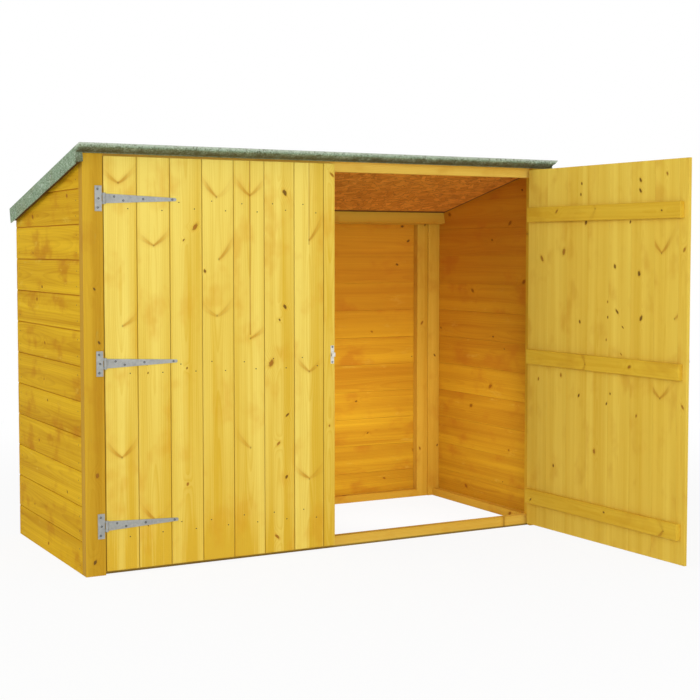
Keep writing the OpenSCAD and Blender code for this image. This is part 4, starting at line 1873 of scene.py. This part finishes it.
@dataclass
class Roof:
    """The strand board and the felt that is folded over its edges.

    Distances are back along the slope from the posts' front, and heights are off the
    board's underside.

    Attributes:
        front: the board's front edge.
        deck: the board's thickness.
        drop: how far the felt hangs below the board at the sides.
        nosing: the nosing strip's thickness.
        nosing_gap: how far the strip ends ahead of the posts.
        nosing_flat: how far the felt is tucked back under the strip.
        round: radius of the felt's rolled front.
        tail: how far back the side flap reaches its full drop.
        fold: how far the right corner is folded in.
        return_ends: front and back of the felt round a side bearer's end.
        shade_insets: how far inside the back batten's end, and ahead of it, the
            corners under the board are dark.
        stations: sections along the felt's width.
    """

    yard: TimberYard
    front: float = -0.04507
    back: float = ROOF_BACK
    half_width: float = ROOF_HALF_WIDTH
    deck: float = 0.011
    felt: float = FELT_THICKNESS
    drop: float = 0.040
    nosing: float = 0.005
    nosing_gap: float = 0.003
    nosing_flat: float = 0.012
    round: float = 0.0065
    tail: float = 0.012
    fold: float = 0.02
    return_ends: Pair = (-0.0052, -0.0029)
    shade_insets: Pair = (0.010, 0.018)
    stations: int = 96

    # Points round the felt's rolled front
    ROLL_POINTS: ClassVar[int] = 8

    def _nose(self, inset: float) -> np.ndarray:
        """The felt's line round the front edge, at a depth inside its outer face.

        It runs from the top, round a rolled corner, down the front and back under the
        nosing: a quarter circle, a drop, then a soft fold that leans back.

        Args:
            inset: depth below the outer face.

        Returns:
            Distance back along the slope and height of each point, from the top to the tuck.
        """
        r = self.round
        angle = np.linspace(0.0, math.pi / 2.0, self.ROLL_POINTS)
        middle = np.array([self.front - self.felt + r, self.deck + self.felt - r])
        roll = middle + (r - inset) * np.stack([-np.sin(angle), np.cos(angle)], axis=-1)
        tuck_q = -self.nosing_gap - self.nosing_flat
        low = -self.nosing - self.felt + inset
        share = np.linspace(0.0, 1.0, 7)[:, None]
        face = self.front - self.felt + inset
        start = np.array([face, 0.001])
        corner = np.array([face, -0.0015 + inset * 0.8])
        end = np.array([face + 0.0046 - inset * 0.4, -0.00245 + inset])
        fold = (1 - share) ** 2 * start + 2 * share * (1 - share) * corner + share ** 2 * end
        return np.concatenate([roll, fold, [[tuck_q, low], [-self.nosing_gap, low]]])

    def _cover(self) -> Skin:
        """The sheet over the top, its rolled front and its turned-down back.

        The section is carried along X. The nose is pushed in and out by a slow wave.
        """
        outer, inner = self._nose(0.0), self._nose(self.felt)
        top, under = self.deck + self.felt, self.deck
        rear = self.back + self.felt
        back_outer = np.array([[rear, 0.0], [rear, top - 0.003], [rear - 0.003, top]])
        back_inner = np.array([[self.back, under], [self.back, 0.0]])
        line = np.concatenate([back_outer, outer, inner[::-1], back_inner])
        x = np.linspace(-self.half_width, self.half_width, self.stations)
        front = 1.0 - np.clip((line[:, 0] - self.front) / 0.03, 0.0, 1.0)
        wave = (np.sin(x * 11.0 + 0.6) + 0.6 * np.sin(x * 27.0) + 0.4 * np.sin(x * 61.0 + 1.0))
        ends = np.clip((self.half_width - np.abs(x)) / 0.05, 0.0, 1.0)
        push = 0.0004 * (wave - 1.2) * ends
        q = line[None, :, 0] + push[:, None] * front[None, :]
        h = line[None, :, 1] + 0.4 * push[:, None] * front[None, :]
        across = np.broadcast_to(x[:, None], q.shape)
        across = across - self._fold_in(Side.RIGHT, q, h) * (across / self.half_width).clip(0.0)
        return loft(on_slope(across, q, h), mirrored=True)

    def _fold_in(self, side: Side, q: np.ndarray, h: np.ndarray) -> np.ndarray:
        """How far the felt's front corner is folded in, growing from the top of the nose down.

        Args:
            side: the right corner is folded under, the left one hangs straight.
            q: distance back along the slope.
            h: height off the board's underside.

        Returns:
            The inward distance.
        """
        if side is Side.LEFT:
            return np.zeros(np.broadcast(q, h).shape)
        down = ((self.deck + self.felt - h) / (self.deck + self.nosing)).clip(0.0, 1.3)
        ahead = ((-self.nosing_gap - q) / 0.02).clip(0.0, 1.0)
        return self.fold * down * ahead

    def _flap(self, side: Side) -> Skin:
        """The felt turned down over a side edge.

        Rings stand along the slope. Each is a thin upright strip whose lower edge follows
        the nose in front of the post, then drops to the bearer's foot in a short curve.
        """
        nose = self._nose(0.0)
        front_q = np.linspace(self.front - self.felt, -self.nosing_gap, 20)
        dive_q = np.linspace(-self.nosing_gap, self.tail, 8)[1:]
        long_q = np.linspace(self.tail, self.back + self.felt, 40)[1:]
        q = np.concatenate([front_q, dive_q, long_q])
        under = nose[self.ROLL_POINTS - 1:]
        under = under[np.argsort(under[:, 0])]
        nose_low = np.interp(q, under[:, 0], under[:, 1])
        dive = np.clip((q + self.nosing_gap) / (self.tail + self.nosing_gap), 0.0, 1.0)
        foot = -self.nosing - self.felt
        low = np.where(q <= -self.nosing_gap, np.maximum(nose_low, foot),
                       foot + (-self.drop - foot) * (1.0 - (1.0 - dive) ** 2.4))
        low = low + 0.0006 * np.sin(q * 23.0) * (q > 0.05)
        roll = nose[:self.ROLL_POINTS][::-1]
        high = np.interp(q, roll[:, 0], roll[:, 1])
        low = np.minimum(low, high - 0.002)
        soft = np.minimum(0.0026, (high - low) * 0.4)
        bulge = 0.0004 * (np.sin(q * 17.0 + side.value) - 1.0) * (q > 0.05)
        near = np.full(len(q), self.half_width - 0.0002)
        far = np.full(len(q), self.half_width + self.felt)
        columns = [
            (near, low), (far + bulge - 0.0005, low), (far + bulge, low + 0.0008),
            (far, high - soft), (far - soft * 0.3, high - soft * 0.3), (far - soft, high),
            (near, high)]
        h = np.stack([c[1] for c in columns], axis=1)
        x = np.stack([c[0] for c in columns], axis=1) - self._fold_in(side, q[:, None], h)
        x = x * side.value
        rings = on_slope(x, np.broadcast_to(q[:, None], x.shape), h)
        return loft(rings, mirrored=side is Side.RIGHT)

    def _clouts(self) -> None:
        """Clout nails along both side flaps."""
        q = np.arange(0.045, self.back, 0.118)
        q = q + self.yard.jitter(0.01, len(q))
        h = self.yard.rng.uniform(-0.016, -0.006, len(q))
        for side in Side:
            x = np.full(len(q), side.value * (self.half_width + self.felt - 0.0006))
            drive_nails(f"{side.word}_felt_clouts", on_slope(x, q, h), side.value * TRUE_X,
                        "shelter", self.yard, CLOUT_NAIL, None, GALVANISED)

    def _board(self) -> Skin:
        """The strand board, with its right front corner dubbed off where the felt folds in."""
        q = np.array([self.front, -0.022, -self.nosing_gap, self.back])
        h = np.array([0.0, 0.0, self.deck, self.deck])
        x = np.array([-1.0, 1.0, 1.0, -1.0]) * self.half_width
        fold = self._fold_in(Side.RIGHT, q[:, None], h[None, :]) * (x > 0.0)
        return loft(on_slope(x - fold, np.broadcast_to(q[:, None], fold.shape),
                             np.broadcast_to(h, fold.shape)), mirrored=True)

    def _return(self, side: Side) -> Skin:
        """The felt folded round the front end of a side bearer, up to the post."""
        inner = corners_of("right_front_post")[1][0] + SEAT_GAP
        outer = self.half_width + self.felt
        top, foot = -self.nosing - self.felt + 0.0005, -self.drop
        x = np.array([inner, outer, outer, inner]) * side.value
        h = np.array([foot + 0.004, foot + 0.0006, top, top])
        q = np.array(self.return_ends)[:, None]
        rings = on_slope(np.tile(x, (2, 1)), np.broadcast_to(q, (2, 4)), np.tile(h, (2, 1)))
        return loft(rings, mirrored=side is Side.RIGHT)

    def build(self) -> None:
        """Lays the strand board and the felt."""
        board = self._board().to_piece("roof_strand_board")
        low, high = corners_of("roof_back_batten")
        shaded = (high[0] - self.shade_insets[0], low[1] - self.shade_insets[1])
        dress(board, ROOF_STRANDS.material(shaded), "shelter", ["roof_deck"])
        skin = Skin.joined([self._cover(), self._flap(Side.LEFT), self._flap(Side.RIGHT),
                            self._return(Side.LEFT), self._return(Side.RIGHT)])
        piece = skin.to_piece("roof_felt_sheet", smooth=True)
        dress(piece, ROOF_FELT.material(roof_corner()), "shelter", ["roof_felt"])
        self._clouts()


# ---------------------------------------------------------------- studio


@dataclass(frozen=True)
class Softbox:
    """A square soft lamp: its place, the point it faces, its size and its watts."""

    name: str
    at: Triple
    facing: Triple
    size: float
    watts: float

    def hang(self) -> None:
        """Puts the lamp in the scene."""
        lamp = bpy.data.lights.new(self.name, "AREA")
        lamp.size = self.size
        lamp.energy = self.watts
        holder = bpy.data.objects.new(self.name, lamp)
        aim = Vector(self.facing) - Vector(self.at)
        holder.location = self.at
        holder.rotation_euler = aim.to_track_quat("-Z", "Y").to_euler()
        bpy.context.scene.collection.objects.link(holder)


@dataclass
class Studio:
    """White room, lamps and camera.

    Attributes:
        sky: how strongly the room lights the object.
        floor_shadow: how much of the floor's shadow shows.
        floor_fade: how far from the middle the shadow starts to fade, and is gone.
        floor_reach: half of the floor's width.
        camera_turn: the camera's turn to the right of straight back, in degrees.
        camera_dip: how far it looks down, in degrees.
    """

    sky: float = 0.56
    floor_shadow: float = 0.1
    floor_fade: Pair = (1.6, 4.0)
    floor_reach: float = 30.0
    camera_at: Triple = (-2.2174, -4.1929, 1.0316)
    camera_turn: float = 28.65
    camera_dip: float = 3.16
    camera_shift: float = -0.0336
    lens: float = 70.6
    lamps: tuple[Softbox, ...] = (
        Softbox("key", (-0.5, -4.4, 1.5), (0.3, 0.3, 0.6), 2.4, 68.0),
        Softbox("side", (-5.0, -0.6, 2.6), (-0.9, 0.4, 0.6), 2.4, 75.0),
        Softbox("doorway", (0.38, 0.17, 0.42), (0.64, 0.78, 0.20), 0.4, 2.0),
    )

    @staticmethod
    def _seen(bench: Bench) -> Value:
        """1 for rays from the camera, off gloss or through glass."""
        path = bench.raw_node("LightPath", {}, {})
        rays = [Value(bench, path.outputs[n])
                for n in ("Is Camera Ray", "Is Glossy Ray", "Is Transmission Ray")]
        return rays[0].most(rays[1]).most(rays[2])

    def _sky(self) -> None:
        """White to the eye, and a plain even light on the object."""
        world = bpy.data.worlds.new("white_room")
        bench = Bench(world)
        seen = self._seen(bench)
        strength = seen * (1.0 - self.sky) + self.sky
        background = bench.node("Background", {},
                                {"Color": (1.0, 1.0, 1.0, 1.0), "Strength": strength})
        bench.raw_node("OutputWorld", {}, {0: background})
        bpy.context.scene.world = world

    def _floor(self) -> None:
        """A white floor that keeps a light share of the shadow."""
        ring = self.floor_reach * np.array([[-1.0, -1.0, 0.0], [1.0, -1.0, 0.0],
                                            [1.0, 1.0, 0.0], [-1.0, 1.0, 0.0]])
        floor = Skin(ring, np.arange(4), np.array([4])).to_piece("studio_floor")
        bench = Bench.named("white_floor")
        shade = bench.node("BsdfDiffuse", {}, {"Color": (0.9, 0.9, 0.9, 1.0)})
        glow = bench.node("Emission", {},
                          {"Color": (1.0, 1.0, 1.0, 1.0), "Strength": 1.0})
        x, y, _ = bench.place().parts()
        away = (x * x + y * y).root().rise(*self.floor_fade)
        share = self._seen(bench) * (1.0 - (1.0 - away) * self.floor_shadow)
        mixed = bench.node("MixShader", {}, {0: share, 1: shade, 2: glow})
        bench.raw_node("OutputMaterial", {}, {0: mixed})
        floor.data.materials.append(bench.holder)

    def _camera(self) -> None:
        """The camera, level but for a slight dip."""
        camera = bpy.data.cameras.new("camera")
        camera.lens = self.lens
        camera.sensor_width = 36.0
        camera.shift_y = self.camera_shift
        holder = bpy.data.objects.new("camera", camera)
        holder.location = self.camera_at
        holder.rotation_euler = (math.radians(90.0 - self.camera_dip), 0.0,
                                 -math.radians(self.camera_turn))
        bpy.context.scene.collection.objects.link(holder)
        bpy.context.scene.camera = holder

    def build(self) -> None:
        """Sets up the room, the lamps, the camera and the plain view settings."""
        self._camera()
        self._sky()
        self._floor()
        for lamp in self.lamps:
            lamp.hang()
        bpy.context.scene.view_settings.view_transform = "Standard"


def main() -> None:
    """Builds the store in order: frame, walls, doors with their hinges, roof, then the room."""
    logging.basicConfig(level=logging.INFO, format="%(name)s %(message)s")
    yard = TimberYard(np.random.default_rng(SEED))
    TimberFrame(yard).build()
    Walls(yard).build()
    left = DoorLeaf(Side.LEFT, yard, LEFT_DOOR_KNOTS,
                    tones=(0.2, -0.2, 0.2, -0.1, -0.2, 0.25, 0.1, 0.8),
                    hearts={4: (1.0, 0.74, 1.33), 6: (0.8, 1.04, 1.33)},
                    halves={0: 0.14, 1: 0.1, 4: 0.1, 6: 0.5})
    right = DoorLeaf(Side.RIGHT, yard, RIGHT_DOOR_KNOTS,
                     tones=(0.1, -0.1, 0.2, 0.0, -0.2, 0.1, 0.0, 0.2),
                     open_angle=92.0, face=INNER_DOOR_STAIN)
    for leaf in (left, right):
        leaf.build()
        Ironmongery(leaf).build()
    Roof(yard).build()
    Studio().build()


if __name__ == "__main__":
    main()
